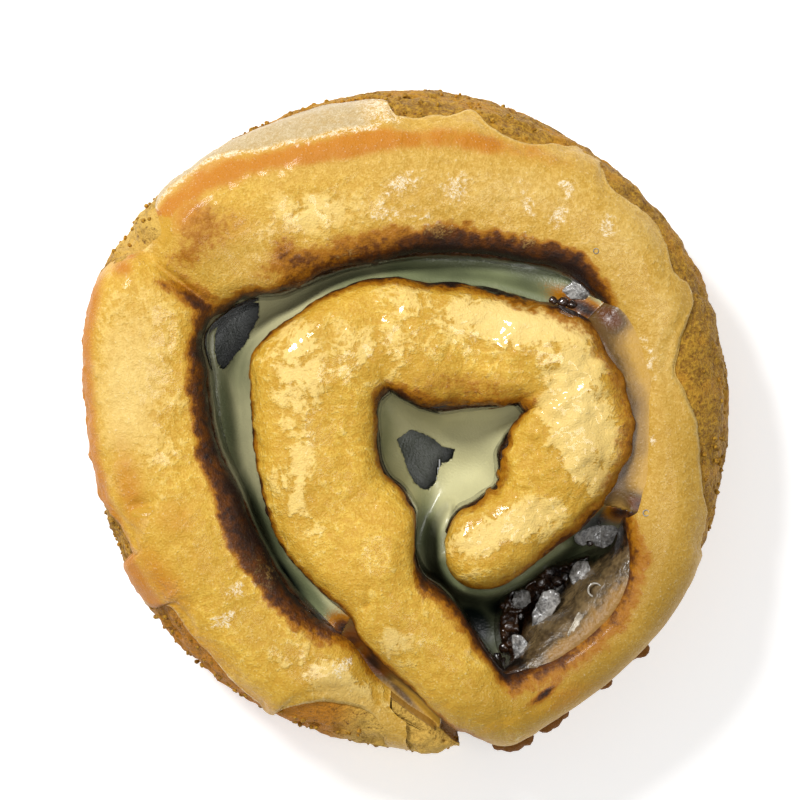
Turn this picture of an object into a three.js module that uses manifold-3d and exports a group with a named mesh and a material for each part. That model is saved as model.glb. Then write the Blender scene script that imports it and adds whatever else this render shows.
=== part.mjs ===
// An iced cinnamon roll: one strip of dough wound twice round, a sheet of dark filling against its inner
// face, icing over its top and side, and the glaze that ran down into the open gaps.
// Millimetres and degrees, +Z up. Every radius is measured from the middle of the winding, and the strip is
// followed by one angle that runs on from its inner tip, past 360, to its tail.
import * as THREE from "three";
import Module from "manifold-3d";

// Driving dimensions
const COIL_CENTRE = { x: 4.79, y: -5.8 }; // the winding's middle, off the middle of the roll
const TIP_ANGLE = -86; // where the strip begins, in the middle
const TAIL_ANGLE = 634; // where it ends, on the outside
const CRACK_ANGLE = 144.6; // direction in which the outer turn has cracked across its top
const COIL_HEIGHT = 27.6; // top of the inner turn, without its crown
const OUTER_TURN_DROP = 2.0; // the outer turn sits this much lower
const CROWN = 1.3; // rise of the strip's top between its two rims
const RIM_RADIUS = 3.4; // rounding of the top edge along a gap
const BASE_RADIUS = 2.0; // rounding of the bottom edges
const SEAM = 1.6; // space between two turns that lie against each other
const PLAN_RADIUS = 46.8; // the roll's outline is near to a circle
const PLAN_CENTRE = { x: -5.05, y: 5.8 }; // that circle's middle, from the winding's middle
const CLEARANCE = 0.3; // space between two different materials
const FILLING_THICKNESS = 0.6;
const ICING_THICKNESS = 0.8;
const GLAZE_THICKNESS = 0.6;
const GLAZE_FLOOR = 12; // height at which the glaze bridges the gaps
const OVER_FILLING = 2 * CLEARANCE + FILLING_THICKNESS; // from the dough's inner face to the glaze on it
const GLAZED_INNER = [0.46, 0.9]; // places on an inner wall, from the bridge of glaze up to under the rim
const GLAZED_OUTER = [4.1, 4.56]; // and on an outer wall, down to the bridge
const STATION_SPACING = 3.9; // longest step along the strip

// The strip's inner face: [angle, radius] at its corners and at the middle of its straighter runs
const innerFace = curve([
  [-86, 8.0], [-62, 7.9], [-40, 8.3], [-20, 9.2], [5, 8.8], [18, 10.2], [30, 14.2], [37, 14.0],
  [48, 11.2], [62, 9.1], [88, 7.6], [107, 8.5], [117, 10.3], [125, 12.6], [133, 12.6], [157, 10.1],
  [197, 8.1], [217, 7.1], [238, 7.9], [244, 9.2], [252, 13.4], [260, 16.4], [269, 18.2], [275, 20.6],
  [280, 24.6], [287, 31.5], [315, 31.7], [332, 30.1], [345, 27.5], [366, 28.5], [388, 30.6],
  [412, 32.5], [434, 30.1], [448, 29.5], [463, 29.7], [478, 30.9], [492, 32.8], [500, 36.4],
  [511, 38.5], [520, 35.3], [535, 31.9], [553, 28.5], [570, 27.9], [602, 28.2], [612, 30.2],
  [623, 33.5], [630, 37.0], [634, 39.0],
]);
// The outside of the first turn, where a gap lies open beside it
const firstTurnOutside = curve([
  [-86, 17.9], [-72, 18.3], [-45, 18.7], [-30, 20.2], [-15, 23.1], [0, 26.2], [12, 27.7], [43, 28.3],
  [60, 25.3], [90, 24.4], [105, 26.1], [120, 27.6], [135, 28.1], [150, 29.4], [163, 26.9],
  [180, 25.1], [210, 24.7], [228, 24.3], [240, 24.9], [248, 28.5], [260, 40.0],
]);

function clamp01(t) {
  return Math.min(1, Math.max(0, t));
}

function ease(from, to, x) {
  const t = clamp01((x - from) / (to - from));
  return t * t * (3 - 2 * t);
}

// 1 at the middle angle, falling to 0 half a width away, the same every 360 degrees
function bump(angle, middle, half) {
  const away = Math.abs(((((angle - middle) % 360) + 540) % 360) - 180);
  return away < half ? 0.5 + 0.5 * Math.cos((Math.PI * away) / half) : 0;
}

// A smooth curve through points, which never swings past them
function curve(points) {
  const xs = points.map((p) => p[0]);
  const ys = points.map((p) => p[1]);
  const slopes = ys.slice(1).map((y, i) => (y - ys[i]) / (xs[i + 1] - xs[i]));
  const tangents = ys.map((_, i) => {
    if (i === 0) return slopes[0];
    if (i === ys.length - 1) return slopes[i - 1];
    const [a, b] = [slopes[i - 1], slopes[i]];
    return a * b <= 0 ? 0 : (2 * a * b) / (a + b);
  });
  return (x) => {
    let i = 0;
    while (i < xs.length - 2 && x > xs[i + 1]) i += 1;
    const step = xs[i + 1] - xs[i];
    const t = clamp01((x - xs[i]) / step);
    const [t2, t3] = [t * t, t * t * t];
    const along = (2 * t3 - 3 * t2 + 1) * ys[i] + (3 * t2 - 2 * t3) * ys[i + 1];
    return along + step * ((t3 - 2 * t2 + t) * tangents[i] + (t3 - t2) * tangents[i + 1]);
  };
}

// The widest line round the roll: an off-centre circle with the roll's own flats and bulges
function outline(angle) {
  const a = THREE.MathUtils.degToRad(angle);
  const along = Math.cos(a) * PLAN_CENTRE.x + Math.sin(a) * PLAN_CENTRE.y;
  const across = -Math.sin(a) * PLAN_CENTRE.x + Math.cos(a) * PLAN_CENTRE.y;
  const circle = along + Math.sqrt(PLAN_RADIUS ** 2 - across ** 2);
  const bulges =
    1.5 * bump(angle, 149, 28) + 0.4 * bump(angle, 117, 22) +
    0.9 * bump(angle, 90, 26) + 1.7 * bump(angle, 277, 20);
  const flats =
    0.8 * bump(angle, 46, 38) + 0.5 * bump(angle, 350, 34) + 2.3 * bump(angle, 184, 42) +
    1.0 * bump(angle, 228, 34) + 0.4 * bump(angle, 248, 20) + 0.6 * bump(angle, 318, 30);
  return circle + bulges - flats;
}

// How far the top edge stands in from the widest line
function shoulderInset(angle) {
  return 0.7 + 3.8 * bump(angle, 98, 50) + 2.0 * bump(angle, 8, 34) + 1.7 * bump(angle, 210, 36);
}

// How much of the full section the strip has: the tip and the tail are rounded off
function fullness(angle) {
  const fromTip = clamp01((angle - TIP_ANGLE) / 22);
  const fromTail = clamp01((TAIL_ANGLE - angle) / 7);
  const tip = Math.sin((fromTip * Math.PI) / 2) ** 1.1;
  const tail = Math.sin((fromTail * Math.PI) / 2) ** 0.9;
  return Math.max(0.14, Math.min(tip, tail));
}

function topHeight(angle) {
  const settled = COIL_HEIGHT - OUTER_TURN_DROP * ease(230, 400, angle);
  const crack = 2.2 * bump(angle, CRACK_ANGLE, 4.5) * ease(400, 480, angle);
  const waves = 0.35 * Math.sin(angle / 17) + 0.25 * Math.sin(angle / 7.3 + 1);
  const ends = 3.2 * (1 - fullness(angle)) + 2.0 * ease(596, TAIL_ANGLE, angle);
  return settled + waves - crack - ends;
}

function onOutside(angle) {
  return angle > TAIL_ANGLE - 360;
}

// Face radii at a height. down is 0 at the top and 1 at the bottom.
function faces(angle, height) {
  const down = clamp01(1 - height / topHeight(angle));
  const gapBefore = angle - 360 > TIP_ANGLE ? innerFace(angle) - rawOutside(angle - 360) : 9;
  let inner = innerFace(angle) - Math.min(1.0, 0.3 * (gapBefore - SEAM)) * down;
  let outer;
  if (onOutside(angle)) {
    const inset = shoulderInset(angle);
    const belly = Math.sin(Math.min(1, down / 0.7) * (Math.PI / 2));
    const notch = 1.9 * bump(angle, CRACK_ANGLE, 3.4) * (1 - ease(0, 0.7, down));
    const widest = outline(angle) - inset * (1 - belly) - 1.3 * ease(0.72, 1, down) - notch;
    const start = ease(TAIL_ANGLE - 360, TAIL_ANGLE - 348, angle);
    outer = widest * start + rawOutside(angle) * (1 - start);
  } else {
    const gapAfter = innerFace(angle + 360) - rawOutside(angle);
    outer = rawOutside(angle) + Math.min(3.0, 0.55 * (gapAfter - SEAM)) * down ** 0.8;
  }
  const middle = (inner + outer) / 2;
  inner = middle + (inner - middle) * fullness(angle);
  outer = middle + (outer - middle) * fullness(angle);
  return { inner, outer };
}

function rawOutside(angle) {
  return Math.min(firstTurnOutside(angle), innerFace(angle + 360) - SEAM);
}

function shoulderRadius(angle) {
  return onOutside(angle) ? 5.2 + 2.6 * bump(angle, 315, 50) - 1.2 * bump(angle, 165, 40) : RIM_RADIUS;
}

// The strip's section, as a rounded bar. place runs 0-1 up the inner wall, 1-2 round the inner rim, 2-3
// over the crown, 3-4 round the outer rim, 4-5 down the outer wall, and 5-8 along the bottom.
// Gives where that lies across the strip, from -1 to 1, and its height.
function sectionPlace(angle, place) {
  const top = topHeight(angle);
  const width = faces(angle, top).outer - faces(angle, top).inner;
  const rim = Math.min(RIM_RADIUS, width * 0.46);
  const shoulder = Math.min(shoulderRadius(angle), width * 0.5);
  const base = Math.min(BASE_RADIUS, width * 0.4);
  const leg = Math.min(7, Math.floor(place));
  const t = place - leg;
  const turn = (t * Math.PI) / 2;
  const unit = 2 / width;
  const rise = CROWN * Math.min(1, width / 10);
  switch (leg) {
    case 0:
      return { across: -1, height: base + (top - rim - base) * t };
    case 1:
      return { across: -1 + unit * rim * (1 - Math.cos(turn)), height: top - rim * (1 - Math.sin(turn)) };
    case 2:
      return {
        across: -1 + unit * (rim + (width - rim - shoulder) * t),
        height: top + rise * Math.sin(t * Math.PI) * 0.9,
      };
    case 3:
      return {
        across: 1 - unit * shoulder * (1 - Math.sin(turn)),
        height: top - shoulder * (1 - Math.cos(turn)),
      };
    case 4:
      return { across: 1, height: top - shoulder - (top - shoulder - base) * t };
    case 5:
      return { across: 1 - unit * base * (1 - Math.cos(turn)), height: base * (1 - Math.sin(turn)) };
    case 6:
      return { across: (1 - unit * base) * (1 - 2 * t), height: 0 };
    default:
      return { across: -1 + unit * base * (1 - Math.sin(turn)), height: base * (1 - Math.cos(turn)) };
  }
}

function onDough(angle, place) {
  const { across, height } = sectionPlace(angle, place);
  const { inner, outer } = faces(angle, height);
  return { radius: inner + ((outer - inner) * (across + 1)) / 2, height };
}

function toPoint(angle, { radius, height }) {
  const a = THREE.MathUtils.degToRad(angle);
  return [COIL_CENTRE.x + radius * Math.cos(a), COIL_CENTRE.y + radius * Math.sin(a), height];
}

// A place on the dough moved out square to the dough by a distance
function offDough(angle, place, distance) {
  const at = (a, p) => new THREE.Vector3(...toPoint(a, onDough(a, p)));
  const along = at(angle + 0.8, place).sub(at(angle - 0.8, place));
  const round = at(angle, place + 0.04).sub(at(angle, place - 0.04));
  const outward = round.cross(along).normalize();
  return at(angle, place).addScaledVector(outward, distance).toArray();
}

// Angles along the strip, never further apart than the station spacing on either face
function stationsBetween(from, to) {
  const angles = [from];
  const probe = 0.5;
  while (angles[angles.length - 1] < to) {
    const a = angles[angles.length - 1];
    const reach = (face) => {
      const [r0, r1] = [faces(a, 20)[face], faces(a + probe, 20)[face]];
      return Math.hypot(r1 - r0, r0 * THREE.MathUtils.degToRad(probe)) / probe;
    };
    const speed = Math.max(reach("inner"), reach("outer"));
    const inward = a < 200 ? 0.5 * bump(a, 125, 26) + 0.35 * bump(a, 32, 20) : 0;
    const bends = inward + 0.5 * bump(a, CRACK_ANGLE, 12) * ease(200, 480, a) + 0.4 * bump(a, 275, 24);
    angles.push(Math.min(to, a + (STATION_SPACING * (1 - bends)) / speed));
  }
  return angles;
}

function meshOf(name, points, triangles, color, roughness) {
  const geometry = new THREE.BufferGeometry();
  geometry.setAttribute("position", new THREE.Float32BufferAttribute(points.flat(), 3));
  geometry.setIndex(triangles.flat());
  geometry.computeVertexNormals();
  const mesh = new THREE.Mesh(geometry, new THREE.MeshStandardMaterial({ color, roughness, metalness: 0 }));
  mesh.name = name;
  return mesh;
}

// Closed rings of equal length, joined one to the next. The ends are closed by bridge, which lists the
// triangles of one ring by their places in it.
function skin(rings, bridge) {
  const count = rings[0].length;
  const triangles = [];
  for (let k = 0; k + 1 < rings.length; k += 1) {
    for (let i = 0; i < count; i += 1) {
      const j = (i + 1) % count;
      const [a, b, c, d] = [k * count + i, k * count + j, (k + 1) * count + j, (k + 1) * count + i];
      triangles.push([a, b, d], [b, c, d]);
    }
  }
  const last = (rings.length - 1) * count;
  for (const [a, b, c] of bridge) {
    triangles.push([a, c, b], [last + a, last + b, last + c]);
  }
  return { points: rings.flat(), triangles };
}

// Closes a ring whose second half runs back beside its first half
function ladder(count) {
  const bridge = [];
  for (let i = 0; i < count / 2 - 1; i += 1) {
    const [a, b, c, d] = [i, i + 1, count - 2 - i, count - 1 - i];
    bridge.push([a, b, d], [b, c, d]);
  }
  return bridge;
}

function buildDough() {
  const third = 1 / 3;
  const rims = [1, 1 + third, 1 + 2 * third, 2, 2.5, 3, 3 + third, 3 + 2 * third, 4];
  const places = [7.5, 0, 0.5, ...rims, 4.3, 4.6, 5, 5.5, 6, 7];
  const rings = stationsBetween(TIP_ANGLE, TAIL_ANGLE).map((angle) =>
    places.map((place) => toPoint(angle, onDough(angle, place))),
  );
  const { points, triangles } = skin(rings, ladder(places.length));
  return meshOf("dough", points, triangles, 0xd9a352, 0.7);
}

// Dark filling heaped in the wide pit below the right of the winding
function pitHeap(angle) {
  const lumps = 0.8 + 0.2 * Math.sin(angle / 3.4);
  return 8.0 * ease(289, 303, angle) * (1 - ease(322, 342, angle)) * lumps;
}

function buildFilling() {
  const places = [0.12, 0.5, 1, 1.4];
  const heaped = [1, 0.75, 0, 0];
  const rings = stationsBetween(TIP_ANGLE + 22, TAIL_ANGLE - 9).map((angle) => {
    const near = places.map((place) => offDough(angle, place, CLEARANCE));
    const far = places.map((place, i) => {
      const thickness = FILLING_THICKNESS + heaped[i] * pitHeap(angle);
      return offDough(angle, place, CLEARANCE + thickness);
    });
    return [...far, ...near.reverse()];
  });
  const { points, triangles } = skin(rings, ladder(2 * places.length));
  return meshOf("cinnamon_filling", points, triangles, 0x3a1c0e, 0.35);
}

// Where the icing ends on the outer side: at the rim beside a gap, and in drips down the roll's side
function icingOuterEdge(angle) {
  const rim = 3.55;
  const side = 4.12 + 0.1 * Math.sin(angle / 9) + 0.06 * Math.sin(angle / 3.7);
  const drips = 0.3 * bump(angle, 201, 7) + 0.35 * bump(angle, 241, 6) + 0.3 * bump(angle, 300, 40);
  const held = 0.3 * bump(angle, 8, 26) + 0.22 * bump(angle, 98, 30);
  return rim + (side + drips - held - rim) * ease(278, 298, angle);
}

function buildIcing() {
  const start = TIP_ANGLE + 5;
  const end = 618;
  const rings = stationsBetween(start, end).map((angle) => {
    const edge = icingOuterEdge(angle);
    const turned = Math.min(edge - 0.08, 4) - 3;
    const places = [1.5, 2, 2.5, 3, 3 + turned / 3, 3 + (2 * turned) / 3, 3 + turned, edge];
    const near = places.map((place) => offDough(angle, place, CLEARANCE));
    const far = places.map((place, i) => {
      const thin = i === 0 || i === places.length - 1 ? 0.5 : 1;
      return offDough(angle, place, CLEARANCE + ICING_THICKNESS * thin);
    });
    return [...far, ...near.reverse()];
  });
  const { points, triangles } = skin(rings, ladder(rings[0].length));
  return meshOf("icing", points, triangles, 0xe6cf9a, 0.25);
}

// A sheet of glaze down a gap's wall. Where it would fold over itself in a sharp corner, it cuts the corner.
function glazeWall(from, to, places, distance) {
  const step = (a, b, off) => {
    const [p, q] = [a, b].map((angle) => new THREE.Vector3(...offDough(angle, places[0], off)));
    return q.sub(p);
  };
  const folds = (a, b) => step(a, b, distance + GLAZE_THICKNESS).dot(step(a, b, 0)) <= 0;
  const kept = [];
  for (const angle of stationsBetween(from, to)) {
    if (kept.length === 0 || !folds(kept[kept.length - 1], angle)) kept.push(angle);
  }
  const rings = kept.map((angle) => {
    const near = places.map((place) => offDough(angle, place, distance));
    const far = places.map((place) => offDough(angle, place, distance + GLAZE_THICKNESS));
    return [...far, ...near.reverse()];
  });
  return skin(rings, ladder(2 * places.length));
}

// A bridge of glaze between two faces of the strip, clear of the dough and the filling
function glazeFloor({ CrossSection }, innerFrom, innerTo, outerFrom, outerTo) {
  const line = (from, to, place, distance) =>
    stationsBetween(from, to).map((angle) => offDough(angle, place, distance).slice(0, 2));
  const inner = line(innerFrom, innerTo, GLAZED_INNER[0], OVER_FILLING);
  const outer = line(outerFrom, outerTo, GLAZED_OUTER[1], CLEARANCE);
  const round = new CrossSection([[...inner, ...outer.reverse()]], "NonZero");
  const plate = round.offset(-CLEARANCE / 3, "Round").simplify(0.05);
  return plate.extrude(GLAZE_THICKNESS).translate([0, 0, GLAZE_FLOOR]);
}

// A torn hole in the glaze floor: an ellipse with a jagged edge
function tornHole({ CrossSection }, hole) {
  const count = 18;
  const lean = THREE.MathUtils.degToRad(hole.lean);
  const loop = [];
  for (let i = 0; i < count; i += 1) {
    const a = (i * 2 * Math.PI) / count;
    const jag = 1 + 0.14 * Math.sin(5 * a + hole.phase) + 0.08 * Math.sin(9 * a);
    const [u, v] = [hole.long * Math.cos(a) * jag, hole.short * Math.sin(a) * jag];
    const [x, y] = [u * Math.cos(lean) - v * Math.sin(lean), u * Math.sin(lean) + v * Math.cos(lean)];
    loop.push([COIL_CENTRE.x + hole.x + x, COIL_CENTRE.y + hole.y + y]);
  }
  const cutter = new CrossSection([loop]).extrude(4 * GLAZE_THICKNESS);
  return cutter.translate([0, 0, GLAZE_FLOOR - GLAZE_THICKNESS]);
}

function solidOf({ Manifold, Mesh }, { points, triangles }) {
  const vertProperties = new Float32Array(points.flat());
  const triVerts = new Uint32Array(triangles.flat());
  return new Manifold(new Mesh({ numProp: 3, vertProperties, triVerts }));
}

function glazeMesh(name, solid) {
  const { vertProperties, triVerts } = solid.getMesh();
  const points = [];
  for (let i = 0; i < vertProperties.length; i += 3) points.push([...vertProperties.slice(i, i + 3)]);
  return meshOf(name, points, [Array.from(triVerts)], 0x9aa08a, 0.2);
}

function buildGlaze(name, wasm, { floor, walls, hole }) {
  const sheets = walls.map((wall) => solidOf(wasm, glazeWall(...wall)));
  const bridge = glazeFloor(wasm, ...floor).subtract(tornHole(wasm, hole));
  const bodies = sheets.reduce((sum, sheet) => sum.add(sheet), bridge).decompose();
  bodies.sort((one, other) => other.volume() - one.volume()); // a scrap that the hole cuts off falls out
  return glazeMesh(name, bodies[0].simplify(0.02));
}

const wasm = await Module();
wasm.setup();

const roll = new THREE.Group();
roll.name = "cinnamon_roll";
roll.add(
  buildDough(),
  buildFilling(),
  buildIcing(),
  buildGlaze("middle_glaze", wasm, {
    floor: [TIP_ANGLE - 2, 284, TIP_ANGLE - 2, -77],
    walls: [
      [TIP_ANGLE + 22, 284, GLAZED_INNER, OVER_FILLING],
      [TIP_ANGLE + 10, -24, GLAZED_OUTER, CLEARANCE],
    ],
    hole: { x: -2.6, y: -0.4, long: 4.4, short: 3.4, lean: -60, phase: 0.6 },
  }),
  buildGlaze("side_glaze", wasm, {
    floor: [404, 598, 44, 238],
    walls: [
      [406, 596, GLAZED_INNER, OVER_FILLING],
      [46, 236, GLAZED_OUTER, CLEARANCE],
    ],
    hole: { x: -29.6, y: 17.9, long: 5.0, short: 1.7, lean: 60, phase: 2.1 },
  }),
);

export default roll;
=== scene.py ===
import math
from collections import namedtuple

import bpy
import numpy as np
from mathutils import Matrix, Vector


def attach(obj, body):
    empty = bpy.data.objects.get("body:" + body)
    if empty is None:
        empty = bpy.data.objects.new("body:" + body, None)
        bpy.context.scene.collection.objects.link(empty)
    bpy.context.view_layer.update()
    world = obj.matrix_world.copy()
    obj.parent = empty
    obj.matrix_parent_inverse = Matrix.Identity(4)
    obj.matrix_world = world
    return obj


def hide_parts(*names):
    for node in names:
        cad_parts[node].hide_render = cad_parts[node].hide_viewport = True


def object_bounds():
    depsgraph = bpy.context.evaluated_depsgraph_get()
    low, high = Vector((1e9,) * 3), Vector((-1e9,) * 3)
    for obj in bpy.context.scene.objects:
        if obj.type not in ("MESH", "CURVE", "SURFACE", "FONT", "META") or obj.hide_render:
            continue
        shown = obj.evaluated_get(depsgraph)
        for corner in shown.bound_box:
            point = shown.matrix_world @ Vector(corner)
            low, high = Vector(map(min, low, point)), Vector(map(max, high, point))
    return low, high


# An iced cinnamon roll seen from straight above. Everything is worked out in millimetres and put into the
# meshes in metres, in the frame of the solids.

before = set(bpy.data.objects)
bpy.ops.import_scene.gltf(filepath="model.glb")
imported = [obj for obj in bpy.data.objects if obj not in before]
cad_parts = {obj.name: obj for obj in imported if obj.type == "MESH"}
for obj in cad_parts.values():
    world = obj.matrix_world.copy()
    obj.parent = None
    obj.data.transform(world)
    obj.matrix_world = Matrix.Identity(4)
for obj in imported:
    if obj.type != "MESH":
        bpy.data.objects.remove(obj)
cad_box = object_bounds()

# ---- sizes, the same as the solids have ----
COIL_X, COIL_Y = 4.79, -5.8
TIP_ANGLE = -86.0
TAIL_ANGLE = 634.0
CRACK_ANGLE = 144.6  # where a crack crosses the outer turn
COIL_HEIGHT = 27.6
OUTER_TURN_DROP = 2.0
CROWN = 1.3  # how far the top swells between its rims
RIM_RADIUS = 3.4
BASE_RADIUS = 2.0
SEAM = 1.6  # the gap at a closed seam
PLAN_RADIUS = 46.8
PLAN_CENTRE = (-5.05, 5.8)
CLEARANCE = 0.3  # between the filling and the dough
ICING_OFF = 1.1  # the icing's top, off the dough

# Stretches of the winding, in degrees along it. What one holds for grows between its first two and fades
# between its last two.
HEAP = (285, 303, 322, 343)
SMOOTH_BAND = (284, 306, 494, 512)
CALM_RELIEF = (284, 310, 400, 440)
CREST = (416, 440, 504, 512)
FROSTED_SLOPE = (446, 466, 499, 503)
NOTCH = (496, 499, 506, 509)
LEFT_RIM = (506, 516, 570, 590)
TOASTED_WALL = (560, 575, 606, 616)
TOP_GAP_RIDGE = (408, 420, 575, 600)
TIP_SHELF = (240, 262, 326, 340)
INNER_TURN_ENDS = (262, 284)
TAIL_STARTS = (596, 612)
HOLE_ENDS, SIDE_GAP, SEAM_ENDS = 345, (404, 600), 630  # where one glaze film gives way to the next

# Places on the icing, as a share of the way over it from its inner edge to its outer edge
RIM_SHARE, CROWN_SHARE = 0.16, 0.68
ICING_END = 622  # the angle where the icing ends, before its end is slanted
END_SLANT, END_SHIFT = 8.0, 5.0  # in degrees

# ---- the view ----
CAMERA_HEIGHT = 560.0
CAMERA_X, CAMERA_Y = -0.85, 2.84
FLOOR_SPAN = 117.6  # how much of the floor the picture takes in
SENSOR = 36.0
PICTURE = 800  # the picture's width and height in pixels
ZONE_PIXEL = 0.14  # a pixel's size on the roll, in millimetres, for the sizes of painted zones


def curve(points):
    """A smooth curve through (x, y) points that never swings past them: cubics whose slope at a point is the
    harmonic mean of the slopes on both sides, or flat where they differ in sign."""
    xs, ys = np.array(points, float).T
    slopes = np.diff(ys) / np.diff(xs)
    before, after = slopes[:-1], slopes[1:]
    both = before * after > 0
    mean = np.where(both, 2 * before * after / np.where(both, before + after, 1), 0)
    tangents = np.concatenate([slopes[:1], mean, slopes[-1:]])

    def at(x):
        x = np.asarray(x, float)
        i = np.clip(np.searchsorted(xs, x, side="left") - 1, 0, len(xs) - 2)
        step = xs[i + 1] - xs[i]
        t = np.clip((x - xs[i]) / step, 0, 1)
        t2, t3 = t * t, t * t * t
        along = (2 * t3 - 3 * t2 + 1) * ys[i] + (3 * t2 - 2 * t3) * ys[i + 1]
        return along + step * ((t3 - 2 * t2 + t) * tangents[i] + (t3 - t2) * tangents[i + 1])

    return at


inner_face = curve([
    (-86, 8.0), (-62, 7.9), (-40, 8.3), (-20, 9.2), (5, 8.8), (18, 10.2), (30, 14.2), (37, 14.0),
    (48, 11.2), (62, 9.1), (88, 7.6), (107, 8.5), (117, 10.3), (125, 12.6), (133, 12.6), (157, 10.1),
    (197, 8.1), (217, 7.1), (238, 7.9), (244, 9.2), (252, 13.4), (260, 16.4), (269, 18.2), (275, 20.6),
    (280, 24.6), (287, 31.5), (315, 31.7), (332, 30.1), (345, 27.5), (366, 28.5), (388, 30.6),
    (412, 32.5), (434, 30.1), (448, 29.5), (463, 29.7), (478, 30.9), (492, 32.8), (500, 36.4),
    (511, 38.5), (520, 35.3), (535, 31.9), (553, 28.5), (570, 27.9), (602, 28.2), (612, 30.2),
    (623, 33.5), (630, 37.0), (634, 39.0),
])
first_turn_outside = curve([
    (-86, 17.9), (-72, 18.3), (-45, 18.7), (-30, 20.2), (-15, 23.1), (0, 26.2), (12, 27.7), (43, 28.3),
    (60, 25.3), (90, 24.4), (105, 26.1), (120, 27.6), (135, 28.1), (150, 29.4), (163, 26.9),
    (180, 25.1), (210, 24.7), (228, 24.3), (240, 24.9), (248, 28.5), (260, 40.0),
])


def ease(start, end, x):
    """0 before start, 1 after end, and a smooth step between."""
    t = np.clip((np.asarray(x, float) - start) / (end - start), 0, 1)
    return t * t * (3 - 2 * t)


def span(x, grow_from, grow_to, fade_from, fade_to):
    """0, then 1 from grow_to to fade_from, then 0, with smooth steps between."""
    return ease(grow_from, grow_to, x) * (1 - ease(fade_from, fade_to, x))


def bump(angle, middle, half):
    """1 at the middle angle, falling to 0 half a width away, the same every 360 degrees."""
    away = np.abs((np.asarray(angle, float) - middle + 180) % 360 - 180)
    return np.where(away < half, 0.5 + 0.5 * np.cos(np.pi * away / half), 0)


def raw_outside(angle):
    """The first turn's outer face, held off the next turn by the seam."""
    return np.minimum(first_turn_outside(angle), inner_face(angle + 360) - SEAM)


def outline(angle):
    """The widest line round the roll: an off-centre circle with flats and bulges."""
    a = np.radians(angle)
    along = np.cos(a) * PLAN_CENTRE[0] + np.sin(a) * PLAN_CENTRE[1]
    across = -np.sin(a) * PLAN_CENTRE[0] + np.cos(a) * PLAN_CENTRE[1]
    circle = along + np.sqrt(PLAN_RADIUS ** 2 - across ** 2)
    bulges = (1.5 * bump(angle, 149, 28) + 0.4 * bump(angle, 117, 22)
              + 0.9 * bump(angle, 90, 26) + 1.7 * bump(angle, 277, 20))
    flats = (0.8 * bump(angle, 46, 38) + 0.5 * bump(angle, 350, 34) + 2.3 * bump(angle, 184, 42)
             + 1.0 * bump(angle, 228, 34) + 0.4 * bump(angle, 248, 20) + 0.6 * bump(angle, 318, 30))
    return circle + bulges - flats


def shoulder_inset(angle):
    """How far the wall draws in from the widest line up to the shoulder."""
    return 0.7 + 3.8 * bump(angle, 98, 50) + 2.0 * bump(angle, 8, 34) + 1.7 * bump(angle, 210, 36)


def fullness(angle):
    """How much of the full section the strip has: less at its rounded tip and tail."""
    from_tip = np.clip((angle - TIP_ANGLE) / 22, 0, 1)
    from_tail = np.clip((TAIL_ANGLE - angle) / 7, 0, 1)
    tip = np.sqrt(1 - (1 - from_tip) ** 2)
    tail = np.sin(from_tail * np.pi / 2) ** 0.9
    return np.maximum(0.14, np.minimum(tip, tail))


def top_height(angle):
    """The strip's height: lower on the outer turn, at the crack and at the ends."""
    settled = COIL_HEIGHT - OUTER_TURN_DROP * ease(230, 400, angle)
    crack = 2.2 * bump(angle, CRACK_ANGLE, 4.5) * ease(400, 480, angle)
    waves = 0.35 * np.sin(angle / 17) + 0.25 * np.sin(angle / 7.3 + 1)
    ends = 3.2 * (1 - fullness(angle)) + 2.0 * ease(596, TAIL_ANGLE, angle)
    return settled + waves - crack - ends


def faces_at(angle, height):
    """The radii of the strip's inner and outer faces at a height."""
    down = np.clip(1 - height / top_height(angle), 0, 1)
    gap_before = np.where(angle - 360 > TIP_ANGLE, inner_face(angle) - raw_outside(angle - 360), 9)
    inner = inner_face(angle) - np.minimum(1.0, 0.3 * (gap_before - SEAM)) * down
    belly = np.sin(np.minimum(1, down / 0.7) * np.pi / 2)
    notch = 1.9 * bump(angle, CRACK_ANGLE, 3.4) * (1 - ease(0, 0.7, down))
    widest = outline(angle) - shoulder_inset(angle) * (1 - belly) - 1.3 * ease(0.72, 1, down) - notch
    start = ease(TAIL_ANGLE - 360, TAIL_ANGLE - 348, angle)
    outside = widest * start + raw_outside(angle) * (1 - start)
    gap_after = inner_face(angle + 360) - raw_outside(angle)
    inside = raw_outside(angle) + np.minimum(3.0, 0.55 * (gap_after - SEAM)) * down ** 0.8
    outer = np.where(angle > TAIL_ANGLE - 360, outside, inside)
    middle = (inner + outer) / 2
    full = fullness(angle)
    return middle + (inner - middle) * full, middle + (outer - middle) * full


def shoulder_radius(angle):
    """The radius of the outer rim, which is big on the outer turn."""
    big = 5.2 + 2.6 * bump(angle, 315, 50) - 1.2 * bump(angle, 165, 40)
    return RIM_RADIUS + (big - RIM_RADIUS) * ease(256, 292, angle)


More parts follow.
